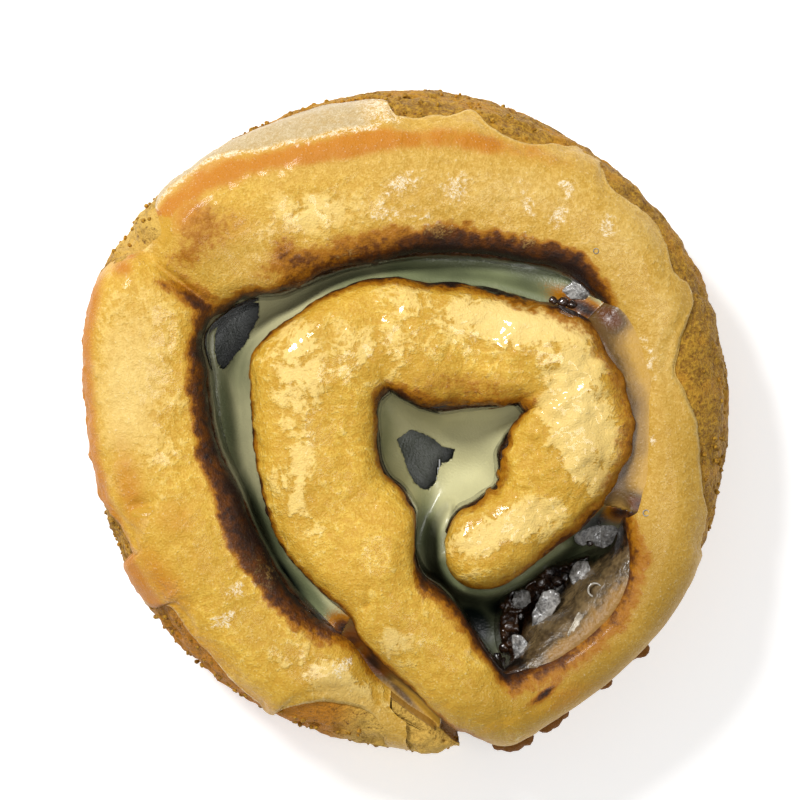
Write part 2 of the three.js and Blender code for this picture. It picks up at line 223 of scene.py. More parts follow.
def on_section(angle, place):
    """A point of the strip's section, a rounded bar: place runs 0-1 up the inner wall, 1-2 round the inner
    rim, 2-3 over the crown, 3-4 round the outer rim, 4-5 down the outer wall and 5-8 along the bottom.
    Gives where it lies across the strip, -1 to 1, and its height."""
    top = top_height(angle)
    inner, outer = faces_at(angle, top)
    width = outer - inner
    rim = np.minimum(RIM_RADIUS, width * 0.46)
    shoulder = np.minimum(shoulder_radius(angle), width * 0.5)
    base = np.minimum(BASE_RADIUS, width * 0.4)
    leg = np.clip(np.floor(place), 0, 7)
    t = place - leg
    unit = 2 / width
    flat = np.maximum(width - rim - shoulder, 0)
    lengths = [rim * np.pi / 2, flat, shoulder * np.pi / 2]
    run = np.select([leg == 1, leg == 2, leg == 3], [lengths[0] * t, lengths[0] + flat * t,
                                                     lengths[0] + flat + lengths[2] * t], 0)
    rise = CROWN * np.minimum(1, flat / 8) * np.sin(np.pi * run / sum(lengths)) ** 2
    sin, cos = np.sin(t * np.pi / 2), np.cos(t * np.pi / 2)
    legs = [
        (-1 + 0 * t, base + (top - rim - base) * t),
        (-1 + unit * rim * (1 - cos), top - rim * (1 - sin) + rise),
        (-1 + unit * (rim + flat * t), top + rise),
        (1 - unit * shoulder * (1 - sin), top - shoulder * (1 - cos) + rise),
        (1 + 0 * t, top - shoulder - (top - shoulder - base) * t),
        (1 - unit * base * (1 - cos), base * (1 - sin)),
        ((1 - unit * base) * (1 - 2 * t), 0 * t),
        (-1 + unit * base * (1 - sin), base * (1 - cos)),
    ]
    across = np.select([leg == k for k in range(8)], [one[0] for one in legs])
    height = np.select([leg == k for k in range(8)], [one[1] for one in legs])
    return across, height


def on_dough(angle, place):
    """Points (x, y, z) on the strip at angles and places."""
    angle, place = np.broadcast_arrays(np.asarray(angle, float), np.asarray(place, float))
    across, height = on_section(angle, place % 8)
    inner, outer = faces_at(angle, height)
    radius = inner + (outer - inner) * (across + 1) / 2
    a = np.radians(angle)
    return np.stack([COIL_X + radius * np.cos(a), COIL_Y + radius * np.sin(a), height], axis=-1)


def unit_of(v):
    """Vectors drawn out or in to a length of 1."""
    return v / np.maximum(np.linalg.norm(v, axis=-1, keepdims=True), 1e-9)


def outward_at(angle, place):
    """The dough's outward direction: the cross product of the steps round the section and along the strip."""
    along = on_dough(angle + 0.8, place) - on_dough(angle - 0.8, place)
    across = on_dough(angle, place + 0.04) - on_dough(angle, place - 0.04)
    return unit_of(np.cross(across, along))


def off_dough(angle, place, distance):
    """Points at a distance off the strip."""
    distance = np.asarray(distance, float)
    return on_dough(angle, place) + outward_at(angle, place) * distance[..., None]


# ---- relief ----
LATTICE = np.random.default_rng(11).random(4096)


def noise(points, size, seed=0):
    """Smooth noise from -1 to 1: random values at the corners of a cubic lattice of the given size, blended
    with smooth steps along each axis."""
    p = np.asarray(points, float) / size + seed * 17.31
    cell = np.floor(p).astype(np.int64)
    f = p - cell
    f = f * f * (3 - 2 * f)
    total = np.zeros(p.shape[:-1])
    for corner in range(8):
        step = np.array([corner & 1, corner >> 1 & 1, corner >> 2 & 1])
        key = (cell + step) * np.array([73856093, 19349663, 83492791])
        key = (key[..., 0] ^ key[..., 1] ^ key[..., 2]) & 4095
        total += np.prod(np.where(step == 1, f, 1 - f), axis=-1) * LATTICE[key]
    return total * 2 - 1


def rough(points, size, layers=3, seed=0, fall=0.5):
    """Layers of noise, each half the size and a fraction of the strength of the one before."""
    total, weight = 0, 0
    for k in range(layers):
        total = total + noise(points, size / 2 ** k, seed + 3 * k) * fall ** k
        weight += fall ** k
    return total / weight


def stations(start, end, spacing):
    """Angles from start to end whose steps along the strip's faces are the spacing at most."""
    fine = np.linspace(start, end, 4000)
    inner, outer = faces_at(fine, 20.0)
    speed = 0
    for radius in (inner, outer):
        slope = np.gradient(radius, fine)
        speed = np.maximum(speed, np.hypot(slope, radius * np.pi / 180))
    length = np.concatenate([[0], np.cumsum((speed[1:] + speed[:-1]) / 2 * np.diff(fine))])
    count = max(2, int(round(length[-1] / spacing)) + 1)
    return np.interp(np.linspace(0, length[-1], count), length, fine)


def grid_faces(rows, columns, round_columns=False):
    """The quads of a grid of points kept row by row. Columns may close on themselves."""
    r = np.arange(rows - 1)[:, None]
    c = np.arange(columns if round_columns else columns - 1)[None, :]
    d = (c + 1) % columns
    corners = [r * columns + c, (r + 1) * columns + c, (r + 1) * columns + d, r * columns + d]
    return np.stack(corners, axis=-1).reshape(-1, 4)


def end_rings(rows, columns):
    """The end faces of a tube, which face the same way as the quads of grid_faces."""
    return [np.arange(columns), ((rows - 1) * columns + np.arange(columns))[::-1]]


def only_used(quads):
    """The numbers of the points that some quads use, and the quads renumbered to them."""
    used, quads = np.unique(quads, return_inverse=True)
    return used, quads.reshape(-1, 4)


def make_mesh(name, points, quads, caps=(), values=None):
    """A smooth mesh from points in millimetres, quads, and end faces given as rings of point numbers."""
    mesh = bpy.data.meshes.new(name)
    points = np.asarray(points, np.float32).reshape(-1, 3) * 0.001
    quads = np.asarray(quads, np.int32)
    corners = np.concatenate([quads.ravel()] + [np.asarray(ring, np.int32) for ring in caps])
    sizes = np.concatenate([np.full(len(quads), 4), [len(ring) for ring in caps]]).astype(np.int32)
    mesh.vertices.add(len(points))
    mesh.vertices.foreach_set("co", points.ravel())
    mesh.loops.add(len(corners))
    mesh.loops.foreach_set("vertex_index", corners)
    mesh.polygons.add(len(sizes))
    mesh.polygons.foreach_set("loop_start", np.concatenate([[0], np.cumsum(sizes)[:-1]]).astype(np.int32))
    mesh.polygons.foreach_set("use_smooth", np.ones(len(sizes), bool))
    mesh.update(calc_edges=True)
    mesh.validate()
    for key, value in (values or {}).items():
        layer = mesh.attributes.new(key, "FLOAT", "POINT")
        layer.data.foreach_set("value", np.asarray(value, np.float32).ravel())
    return mesh


def tube_mesh(name, points, values):
    """A closed tube from points kept section by section. Its sides face outward and its two ends inward."""
    rows, columns = points.shape[:2]
    quads = grid_faces(rows, columns, round_columns=True)[:, ::-1]
    return make_mesh(name, points, quads, end_rings(rows, columns), values)


def show(name, data):
    """Puts a mesh, a light or a camera into the scene."""
    shown = bpy.data.objects.new(name, data)
    bpy.context.scene.collection.objects.link(shown)
    return shown


def add_piece(mesh, finish, slot, *stands_for):
    """Puts a mesh into the scene as a piece of the roll."""
    piece = show(mesh.name, mesh)
    mesh.materials.append(finish)
    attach(piece, "root")
    if stands_for:
        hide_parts(*stands_for)
    return piece


def inside_box(points, margin=0.02):
    """Keeps points inside the solids' box."""
    low, high = np.array(cad_box[0]) * 1000 + margin, np.array(cad_box[1]) * 1000 - margin
    low[2] = 0
    return np.clip(points, low, high)


# ---- finishes ----
def linear(red, green, blue):
    """A colour given as it looks on a screen, 0 to 255, as the light that a shader works with."""
    parts = [c / 255 for c in (red, green, blue)]
    return tuple(c / 12.92 if c <= 0.04045 else ((c + 0.055) / 1.055) ** 2.4 for c in parts) + (1.0,)


class Amount:
    """A number that varies over a surface. Sums and products of it add Math nodes."""

    def __init__(self, finish, socket):
        self.finish, self.socket = finish, socket

    def __add__(self, other):
        return self.finish.math("ADD", self, other)

    def __mul__(self, other):
        return self.finish.math("MULTIPLY", self, other)

    def __sub__(self, other):
        return self.finish.math("SUBTRACT", self, other)

    def __rsub__(self, other):
        return self.finish.math("SUBTRACT", other, self)

    __radd__ = __add__
    __rmul__ = __mul__


class Finish:
    """A material under construction: a Principled shader and the nodes that feed it."""

    def __init__(self, name, **fixed):
        self.material = bpy.data.materials.new(name)
        self.material.use_nodes = True
        self.tree = self.material.node_tree
        self.tree.nodes.clear()
        self.shader = self.node("ShaderNodeBsdfPrincipled")
        out = self.node("ShaderNodeOutputMaterial")
        self.tree.links.new(self.shader.outputs[0], out.inputs["Surface"])
        self.place = self.node("ShaderNodeTexCoord").outputs["Object"]
        for key, value in fixed.items():
            self.shader.inputs[key.replace("_", " ")].default_value = value

    def node(self, kind, settings=None, values=None):
        """Adds a node, sets its settings, then fills its sockets with values or links."""
        node = self.tree.nodes.new(kind)
        for key, value in (settings or {}).items():
            setattr(node, key, value)
        for key, value in (values or {}).items():
            self.fill(node.inputs[key], value)
        return node

    def fill(self, socket, value):
        """Gives a socket a value, or a link from an amount or another socket."""
        value = value.socket if isinstance(value, Amount) else value
        if isinstance(value, bpy.types.NodeSocket):
            self.tree.links.new(value, socket)
        else:
            socket.default_value = value

    def math(self, operation, *values):
        """The amount that a Math node gives."""
        made = self.node("ShaderNodeMath", {"operation": operation}, dict(enumerate(values)))
        return Amount(self, made.outputs[0])

    def painted(self, name):
        """An amount that the mesh carries at its points."""
        return Amount(self, self.node("ShaderNodeAttribute", {"attribute_name": name}).outputs["Fac"])

    def grain(self, size, detail=2.0, roughness=0.5, lean=0.0):
        """Noise from 0 to 1 with features of a size in millimetres."""
        values = {"Vector": self.place, "Scale": 1000 / size, "Detail": detail, "Roughness": roughness}
        values["Distortion"] = lean
        return Amount(self, self.node("ShaderNodeTexNoise", None, values).outputs["Fac"])

    def cells(self, size):
        """Distance from the nearest of scattered points, for cells of a size in millimetres."""
        values = {"Vector": self.place, "Scale": 1000 / size}
        return Amount(self, self.node("ShaderNodeTexVoronoi", None, values).outputs["Distance"])

    def step(self, value, start, end):
        """0 where the value is start, 1 where it is end, and smooth between."""
        settings = {"interpolation_type": "SMOOTHSTEP"}
        made = self.node("ShaderNodeMapRange", settings, {"Value": value, "From Min": start, "From Max": end})
        return Amount(self, made.outputs["Result"])

    def mix(self, amount, first, second):
        """One colour turning into another as the amount goes from 0 to 1."""
        settings = {"data_type": "RGBA", "clamp_factor": True}
        return self.node("ShaderNodeMix", settings, {0: amount, 6: first, 7: second}).outputs[2]

    def put(self, socket, value):
        """Feeds one of the shader's sockets."""
        self.fill(self.shader.inputs[socket], value)

    def emboss(self, height, depth):
        """Bumps of a depth in millimetres where the height goes from 0 to 1."""
        values = {"Height": height, "Strength": 1.0, "Distance": depth / 1000}
        self.put("Normal", self.node("ShaderNodeBump", None, values).outputs["Normal"])


GOLD = linear(228, 190, 76)
DEEP_GOLD = linear(204, 156, 48)
CREAM = linear(234, 204, 126)
# the olive of painted shade, where the roll lies darker away from the light
PAINTED_SHADE_OLIVE = linear(154, 116, 26)
GOLD_SHADE = linear(182, 134, 34)
TOAST = linear(184, 114, 12)
SYRUP = linear(160, 102, 10)
BROWN = linear(92, 48, 2)
DARK = linear(32, 18, 13)
FROST = linear(240, 228, 200)
CALM = linear(208, 168, 78)
CALM_DARK = linear(190, 146, 52)
PALE_SLOPE = linear(170, 150, 112)
TAIL_CRUMB = linear(206, 166, 76)
GREY_GLAZE = linear(216, 210, 160)
# the deep glaze's green-grey and near black also serve as painted shade
SHADED_DEEP_GLAZE = linear(118, 124, 88)
TAN_FLECK = linear(184, 144, 74)
SHADOW_BLACK_GLAZE = linear(12, 22, 18)
CRUMB = linear(190, 144, 40)
DARK_CRUMB = linear(134, 92, 18)
SMEAR_BROWN = linear(96, 70, 28)
SMEAR_TAN = linear(150, 114, 50)
SHARD_DARK = linear(80, 78, 76)
SHARD_LIGHT = linear(158, 155, 150)
SHARD_PALE = linear(206, 194, 172)
SYRUP_BLACK = linear(18, 10, 8)
SYRUP_LIT = linear(58, 34, 16)
MURKY_DARK = linear(62, 48, 30)
MURKY = linear(116, 96, 64)
PIT_TAN = linear(146, 106, 38)


def stain_over(f, colour, stain):
    """Lays the syrup's stain over a colour: golden brown, then brown, then nearly black."""
    colour = f.mix(f.step(stain, 0.0, 0.36), colour, SYRUP)
    colour = f.mix(f.step(stain, 0.32, 0.66), colour, BROWN)
    return f.mix(f.step(stain, 0.6, 0.92), colour, DARK)


def iced_finish():
    """Baked dough under a thin icing: a pale crust with ragged edges over darker gold, fine grains, and what
    the mesh has painted on it."""
    f = Finish("iced_dough", Specular_IOR_Level=0.26, Coat_Roughness=0.08, Coat_IOR=1.4)
    patch, fine, speck = f.grain(5, 6, 0.66, 0.6), f.grain(0.9, 3, 0.62), f.grain(0.3, 2, 0.6)
    names = ("stain", "toast", "cream", "frost", "shade", "bare", "calm")
    stain, toast, cream, frost, shade, bare, calm = [f.painted(n) for n in names]
    ragged = fine * 0.5 + patch * 0.5 - 0.5
    grit = f.step(fine * 0.5 + speck * 0.5, 0.4, 0.6)
    crust = f.step(patch * 0.75 + fine * 0.25 + cream * 0.3, 0.56, 0.66) * (1 - calm)
    colour = f.mix(grit, f.mix(calm, DEEP_GOLD, CALM_DARK), f.mix(calm, GOLD, CALM))
    colour = f.mix(crust * (0.45 + cream * 0.45), colour, CREAM)
    hollows = f.step(patch, 0.62, 0.5) * (1 - calm) * (1 - crust) * (0.4 + cream * 0.5)
    colour = f.mix(hollows, colour, GOLD_SHADE)
    colour = f.mix(calm * f.step(cream + ragged, 0.2, 0.9) * 0.6, colour, CREAM)
    # painted shade: olive where the icing lies darker away from the light, mostly at the right and bottom
    # right
    colour = f.mix(shade * (0.8 + ragged), colour, PAINTED_SHADE_OLIVE)
    colour = f.mix(f.step(toast + ragged * 1.0, 0.15, 0.9) * 0.95, colour, TOAST)
    colour = f.mix(f.step(frost + ragged * 0.5, 0.65, 0.95) * 0.8, colour, PALE_SLOPE)
    colour = f.mix(f.step(bare + ragged * 0.8, 0.4, 0.6) * (0.5 + fine * 0.8), colour, CRUMB)
    reach = stain + ((fine - 0.5) * 0.6 + ragged * 0.4) * f.step(stain, 0.0, 0.15) * f.step(stain, 1.0, 0.6)
    colour = stain_over(f, colour, reach)
    threads = f.grain(1.3, 6, 0.75, 1.6) - 0.5
    threads = f.step(threads * threads, 0.0011, 0.0002)
    flakes = f.step(speck * 0.5 + fine * 0.5, 0.52, 0.58)
    flecks = f.step(frost + ragged * 2.2, 0.3, 0.6) * (threads * 0.75 + flakes * 0.35)
    flecks = flecks * (1 - f.step(stain, 0.4, 0.8) * 0.5) * (1 - f.step(frost, 0.7, 0.9) * 0.7)
    flecks = flecks + f.step(speck * 0.75 + fine * 0.25, 0.58, 0.7) * 0.25 * f.step(stain, 0.3, 0.05)
    colour = f.mix(flecks, colour, f.mix(f.step(stain, 0.1, 0.4), FROST, TAN_FLECK))
    f.put("Base Color", colour)
    f.put("Coat Weight", (0.14 + crust * 0.7) * (1 - shade * 0.6) * (1 - bare) * (1 - toast * 0.6))
    f.put("Roughness", 0.38 + fine * 0.2 + bare * 0.2)
    f.emboss(fine * 0.45 + speck * 0.35 + crust * 0.2, 0.42)
    return f.material


def crumb_finish():
    """Bare baked dough: mottled brown crumb, toasted or pale where the mesh has painted it so."""
    f = Finish("baked_dough", Roughness=0.7, Specular_IOR_Level=0.3)
    patch, fine, speck = f.grain(6, 3), f.grain(0.8, 4, 0.65), f.grain(0.35, 2)
    mottle = patch * 0.25 + fine * 0.45 + speck * 0.3
    colour = f.mix(f.step(mottle, 0.4, 0.6), DARK_CRUMB, CRUMB)
    colour = f.mix(f.step(patch, 0.45, 0.7) * 0.4, colour, TOAST)
    colour = f.mix(f.painted("toasty") * f.step(mottle, 0.3, 0.55) * 0.8, colour, TOAST)
    colour = f.mix(f.painted("pale") * (f.step(mottle, 0.35, 0.55) * 0.6 + 0.4), colour, TAIL_CRUMB)
    colour = f.mix(f.step(fine, 0.38, 0.3) * 0.8, colour, BROWN)
    colour = stain_over(f, colour, f.painted("stain"))
    f.put("Base Color", colour)
    f.emboss(fine * 0.7 + speck * 0.3, 0.8)
    return f.material


def glaze_finish():
    """Set glaze: grey, greener and darker where it is deep and where shade is painted in, brown to black
    where syrup has run into it.
    """
    f = Finish("grey_glaze", Roughness=0.34, Coat_Roughness=0.18, Specular_IOR_Level=0.4)
    fine, patch = f.grain(0.32, 2), f.grain(3.5, 3)
    deep, stain = f.painted("deep"), f.painted("stain")
    # painted shade: the films turn darker where they lie deep in the gaps and in the shadow of the rims
    shade = deep + (patch - 0.5) * 0.35
    colour = f.mix(f.step(shade, 0.0, 1.0), GREY_GLAZE, SHADED_DEEP_GLAZE)
    colour = f.mix(f.step(shade, 1.0, 2.0), colour, SHADOW_BLACK_GLAZE)
    colour = stain_over(f, colour, stain + (fine - 0.5) * 0.3 * f.step(stain, 0.0, 0.1))
    f.put("Base Color", colour)
    f.put("Coat Weight", (0.25 + patch * 0.3) * (1 - f.step(deep, 1.42, 1.5) * 0.7))
    f.emboss(fine, 0.07)
    return f.material


def smear_finish():
    """Thin glaze smeared over a seam: grey-brown and see-through, so it takes the dough's gold in places."""
    f = Finish("smeared_glaze", Roughness=0.36, Coat_Roughness=0.2, Specular_IOR_Level=0.4)
    patch, fine = f.grain(4, 4, 0.6), f.grain(0.5, 3)
    across = f.painted("deep") + (patch - 0.5) * 0.5
    colour = f.mix(f.step(across, -0.3, 0.0), DARK, BROWN)
    colour = f.mix(f.step(across, 0.0, 0.35), colour, SMEAR_BROWN)
    colour = f.mix(f.step(across, 0.3, 0.6), colour, SMEAR_TAN)
    colour = f.mix(f.step(across, 0.55, 0.9), colour, CALM_DARK)
    f.put("Base Color", colour)
    f.put("Coat Weight", 0.05 + patch * 0.25)
    f.emboss(fine, 0.15)
    return f.material


def shard_finish():
    """Broken glaze: grey and glassy, with angular facets."""
    f = Finish("broken_glaze", Roughness=0.22, Coat_Roughness=0.04, Coat_Weight=0.9, Specular_IOR_Level=0.6)
    facet, fine, patch = f.cells(1.3), f.grain(0.4, 3), f.grain(2.2, 3, 0.6)
    colour = f.mix(f.step(patch * 0.6 + fine * 0.4, 0.38, 0.6), SHARD_DARK, SHARD_LIGHT)
    colour = f.mix(f.painted("pale"), colour, SHARD_PALE)
    f.put("Base Color", colour)
    f.emboss(facet * 0.5 + fine * 0.5, 0.4)
    return f.material


def filling_finish():
    """Cinnamon syrup: nearly black and glossy, murky and then tan where it is clear."""
    f = Finish("cinnamon_syrup", Coat_Roughness=0.06)
    fine, patch = f.grain(0.6, 3), f.grain(3, 3, 0.6)
    clear = f.painted("clear")
    mottle = patch * 0.7 + fine * 0.3
    colour = f.mix(f.step(mottle, 0.4, 0.6), SYRUP_BLACK, SYRUP_LIT)
    murky = f.mix(f.step(mottle, 0.35, 0.65), MURKY_DARK, MURKY)
    colour = f.mix(f.step(clear + mottle - 0.5, 0.2, 0.8), colour, murky)
    colour = f.mix(f.step(clear + mottle - 0.5, 1.15, 1.75), colour, PIT_TAN)
    f.put("Base Color", colour)
    f.put("Roughness", 0.2 + f.step(clear, 0.7, 1.5) * 0.25)
    f.put("Coat Weight", (0.5 + patch * 0.4) * (1 - f.step(clear, 0.5, 1.4)))
    f.emboss(fine, 0.2)
    return f.material


# ---- the dough ----
def spread(*parts):
    """Places along the section: each part is (from, to, count), and the last one's end is left out."""
    return np.concatenate([np.linspace(a, b, n, endpoint=False) for a, b, n in parts])


def dough_piece(finish):
    """The strip as a closed tube: the rounded bar's section carried along the winding, pushed out and in by
    crumb relief that is strongest on the bare side wall."""
    first = stations(TIP_ANGLE, 268, 0.9)
    second = stations(268, TAIL_ANGLE, 0.47)
    angles = np.concatenate([first[:-1], second])
    places = spread((-0.5, 0, 3), (0, 1, 10), (1, 2, 8), (2, 3, 16), (3, 4, 18), (4, 5, 44), (5, 6, 5),
                    (6, 7, 6), (7, 7.5, 2))
    a, p = np.meshgrid(angles, places, indexing="ij")
    points, outward = on_dough(a, p), outward_at(a, p % 8)
    side = span(p, 3.2, 3.9, 4.9, 5.3) * ease(280, 296, a)
    tail = ease(600, 620, a) * ease(1.6, 2.4, p) * (1 - ease(4.9, 5.3, p))
    bare = np.maximum(side, tail)
    crumbs = rough(points, 2.6, 4, seed=1, fall=0.62)
    pits = ease(0.18, 0.5, noise(points, 1.7, seed=5)) * 0.5 + ease(0.35, 0.6, noise(points, 3.4, 9)) * 0.7
    full = 0.9 * bump(angles, 45, 42)[:, None]
    push = bare * (crumbs * 0.75 - pits + 0.15) + side * full - 0.1
    points = points + outward * push[..., None]
    points[..., 2] = np.where(p >= 5.9, on_dough(a, p)[..., 2], points[..., 2])
    points = inside_box(points)
    stain = ((1 - ease(0.9, 1.3, p)) * (p < 2) + (p > 7)) * (1 - 0.8 * ease(596, 608, a))
    pale = np.maximum(ease(*TOASTED_WALL[2:], a), span(a, *NOTCH))
    painted = {"stain": stain, "toasty": span(a, *TOASTED_WALL), "pale": pale}
    add_piece(tube_mesh("dough_strip", points, painted), finish, "dough", "dough")


# ---- where things lie on the roll ----
def seen(column, row, height=27.0):
    """The point at a height that shows at a pixel of the picture, as the camera sees it."""
    size = FLOOR_SPAN / PICTURE * (CAMERA_HEIGHT - height) / CAMERA_HEIGHT
    return CAMERA_X + (column - PICTURE / 2) * size, CAMERA_Y + (PICTURE / 2 - row) * size


def zones(points, listed):
    """The strongest of some soft oval zones: (column, row, length, width, lean, strength) in pixels of the
    picture and degrees. Each falls off as a bell from its middle."""
    total = np.zeros(points.shape[:-1])
    for column, row, long, wide, lean, strength in listed:
        x, y = seen(column, row)
        c, s = math.cos(math.radians(lean)), math.sin(math.radians(lean))
        u = ((points[..., 0] - x) * c + (points[..., 1] - y) * s) / (long * ZONE_PIXEL)
        v = ((points[..., 1] - y) * c - (points[..., 0] - x) * s) / (wide * ZONE_PIXEL)
        total = np.maximum(total, strength * np.exp(-(u * u + v * v)))
    return total


def run_along(points):
    """Distance along each row of points from its first one."""
    steps = np.linalg.norm(np.diff(points, axis=1), axis=-1)
    return np.concatenate([np.zeros((len(points), 1)), np.cumsum(steps, axis=1)], axis=1)


# ---- the icing ----
# How far in from the strip's outer edge the icing stops, and below 0 how far down the side it runs
icing_stop = curve([
    (284, -4.5), (300, -6.0), (322, -5.5), (333, -3.0), (343, 0.4), (350, 0.8), (354, 1.4), (360, 2.1),
    (367, 2.8), (372, 3.9), (377, 5.1), (381, 6.0), (385, 5.2), (387, 4.6), (390, 2.8), (392.5, 1.1),
    (395, 0.9), (399.6, 2.2), (404, 1.2), (409, 0.8), (414.6, 1.4), (418, 1.5), (423, -0.4), (429, 0.7),
    (437, 1.85), (441.5, 1.1), (445, 0.3), (450, 1.2), (456.7, 1.0), (459.4, -0.9), (464, -2.3),
    (468.5, -3.0), (480, -2.7), (487, -2.4), (492, -1.5), (497, -1.4), (499, 1.2), (501, 4.0), (503.5, 4.4),
    (505.5, 2.4), (507, 0.3), (509, -0.4), (512, -1.5), (530, -0.6), (541, -0.6), (546, -0.2), (553, 1.2),
    (556.5, 1.2), (558.5, -2.4), (562, -3.2), (565.5, -2.6), (568, 1.4), (578, 1.3), (587, 0.6),
    (594, -0.2), (596, -1.5), (597.5, 0.8), (600, 2.6), (603, 4.0), (607, 4.8), (612, 4.9), (615, 4.2),
    (617, 2.7), (618.5, 1.0), (620, -0.8), (622, -2.5), (626, -2.5),
])
# How far in from the outer edge the toasted crest of the outer turn's top lies
crest_line = curve([
    (400, 1.6), (423, 2.2), (430, 3.1), (439, 4.0), (453, 4.3), (467, 4.5), (474, 4.3), (485, 3.4),
    (493, 2.6), (510, 1.4),
])
# How far the syrup has stained the strip's top beside a gap, in millimetres in plan: the nearly black part
# and the whole of it, along the inner face and along the first turn's outer face
inner_black = curve([
    (-86, 0.1), (0, 0.2), (20, 0.5), (40, 0.25), (100, 0.3), (118, 1.0), (130, 0.8), (145, 0.3),
    (200, 0.25), (238, 0.4), (250, 0.8), (262, 1.4), (285, 1.6), (300, 1.2), (335, 0.6), (350, 0.1),
    (395, 0.1), (406, 1.4), (420, 2.8), (440, 3.0), (466, 2.2), (485, 0.5), (500, 0.6), (515, 1.6),
    (530, 2.7), (560, 3.2), (580, 3.0), (600, 1.8), (622, 0.4),
])
inner_brown = curve([
    (-86, 0.9), (-30, 1.5), (0, 1.6), (20, 2.0), (40, 3.2), (100, 3.2), (118, 2.8), (145, 1.4), (200, 1.1),
    (238, 1.2), (250, 2.0), (262, 3.2), (285, 3.6), (300, 3.4), (335, 3.4), (350, 1.2), (395, 1.0),
    (406, 2.6), (420, 3.5), (440, 4.2), (466, 5.0), (485, 3.2), (500, 2.2), (515, 2.8), (530, 3.7),
    (560, 4.0), (580, 4.0), (600, 3.2), (622, 1.4),
])
inner_strength = curve([
    (-86, 0.35), (-60, 0.55), (-20, 0.8), (20, 1.0), (60, 0.8), (110, 1.0), (150, 0.9), (200, 0.85),
    (250, 0.95), (274, 1.0), (340, 1.0), (352, 0.35), (396, 0.35), (406, 1.0), (590, 1.0), (604, 0.6),
    (622, 0.5),
])
outer_black = curve([
    (-86, 0.1), (-30, 0.2), (0, 0.4), (30, 0.4), (60, 0.3), (110, 0.3), (150, 0.1), (200, 0.2), (245, 0.4),
    (274, 0.4),
])
outer_brown = curve([
    (-86, 0.8), (-30, 1.8), (0, 3.0), (30, 3.2), (60, 2.2), (110, 1.3), (150, 0.6), (200, 0.9), (245, 1.3),
    (274, 1.2),
])
outer_strength = curve([
    (-86, 0.3), (-50, 0.5), (-20, 0.75), (10, 0.7), (50, 0.9), (100, 0.9), (150, 0.6), (180, 0.8), (240, 0.9),
    (274, 0.7),
])


def stain_by(distance, black, whole):
    """1 at the face, 0.65 where the black ends and 0 where the whole stain ends."""
    first = 1 - 0.35 * distance / np.maximum(black, 0.05)
    then = 0.65 * (whole - distance) / np.maximum(whole - black, 0.05)
    return np.clip(np.where(distance < black, first, then), 0, 1)


def icing_edge_place(angle):
    """The place along the section where the icing ends on its outer side."""
    line = np.stack([angle * 0.65, 0 * angle, 0 * angle], -1)
    inset = icing_stop(angle) + 0.3 * noise(line, 2.2, 51) + 0.1 * noise(line, 0.7, 52)
    top = top_height(angle)
    inner, outer = faces_at(angle, top)
    shoulder = np.minimum(shoulder_radius(angle), (outer - inner) * 0.5)
    crown = np.maximum(outer - inner - RIM_RADIUS - shoulder, 1)
    on_shoulder = 3 + np.arcsin(np.clip(1 - inset / shoulder, 0, 1)) * 2 / np.pi
    on_side = 4 - np.minimum(inset, 0) / (top - shoulder - BASE_RADIUS)
    on_crown = 3 - np.maximum(inset - shoulder, 0) / crown
    outside = np.where(inset > shoulder, on_crown, np.where(inset < 0, on_side, on_shoulder))
    turn = ease(264, 286, angle)
    return 4.0 * (1 - turn) + outside * turn


# Zones of the icing, as the function zones reads them: where it is cream, frosted, toasted, stained by syrup,
# darkened by painted shade, smooth or still patchy, cut by a groove (as deep as its strength) and bare
# The cream zone at column 320, row 212 is partly a painted reflection: pale icing with the glossy sheen on it
# painted in.
CREAM_ZONES = [
    (128, 385, 45, 95, -5, 0.8), (665, 330, 26, 100, 0, 0.5), (630, 230, 60, 60, -40, 0.5),
    (520, 195, 120, 34, -8, 0.5), (320, 212, 60, 26, 10, 0.8), (520, 322, 100, 26, -10, 1.0),
    (580, 410, 34, 90, 10, 1.0), (500, 530, 60, 22, 20, 0.8), (300, 370, 30, 60, 0, 0.7),
    (340, 688, 60, 22, -28, 0.8), (300, 480, 24, 60, 0, 0.5), (380, 350, 60, 30, 0, 0.5),
    (330, 620, 18, 30, -40, 0.6), (395, 640, 14, 14, 0, 0.7), (215, 450, 20, 30, 0, 0.4),
]
FROST_ZONES = [
    (398, 187, 20, 14, 30, 0.62), (457, 188, 18, 16, 20, 0.62), (529, 205, 10, 22, 20, 0.68),
    (556, 218, 12, 18, -20, 0.6), (567, 190, 10, 12, 0, 0.55), (608, 228, 12, 16, 0, 0.62),
    (436, 230, 24, 10, -10, 0.62), (349, 253, 16, 8, 20, 0.5), (530, 242, 18, 10, -20, 0.55),
    (400, 215, 60, 16, 0, 0.4), (235, 590, 14, 10, 30, 0.6), (225, 620, 24, 8, 25, 0.65),
    (270, 560, 50, 36, -40, 0.35), (655, 440, 10, 8, 30, 0.5), (345, 665, 18, 10, 40, 0.55),
    (648, 350, 8, 40, 10, 0.4),
]
TOAST_ZONES = [
    (190, 215, 30, 26, 40, 0.75), (235, 225, 36, 22, 30, 0.45), (118, 262, 16, 18, 0, 0.8),
    (130, 490, 20, 60, 12, 0.65), (160, 580, 26, 60, 35, 0.65), (205, 650, 18, 60, 42, 0.5),
    (250, 700, 60, 14, -35, 0.5), (560, 700, 50, 16, 25, 0.5), (175, 520, 30, 26, 0, 0.5),
    (615, 530, 16, 40, 10, 0.4), (480, 640, 30, 20, 0, 0.4), (200, 560, 30, 40, 30, 0.35),
    (350, 580, 30, 20, 0, 0.3), (460, 590, 10, 10, 0, 0.5),
]
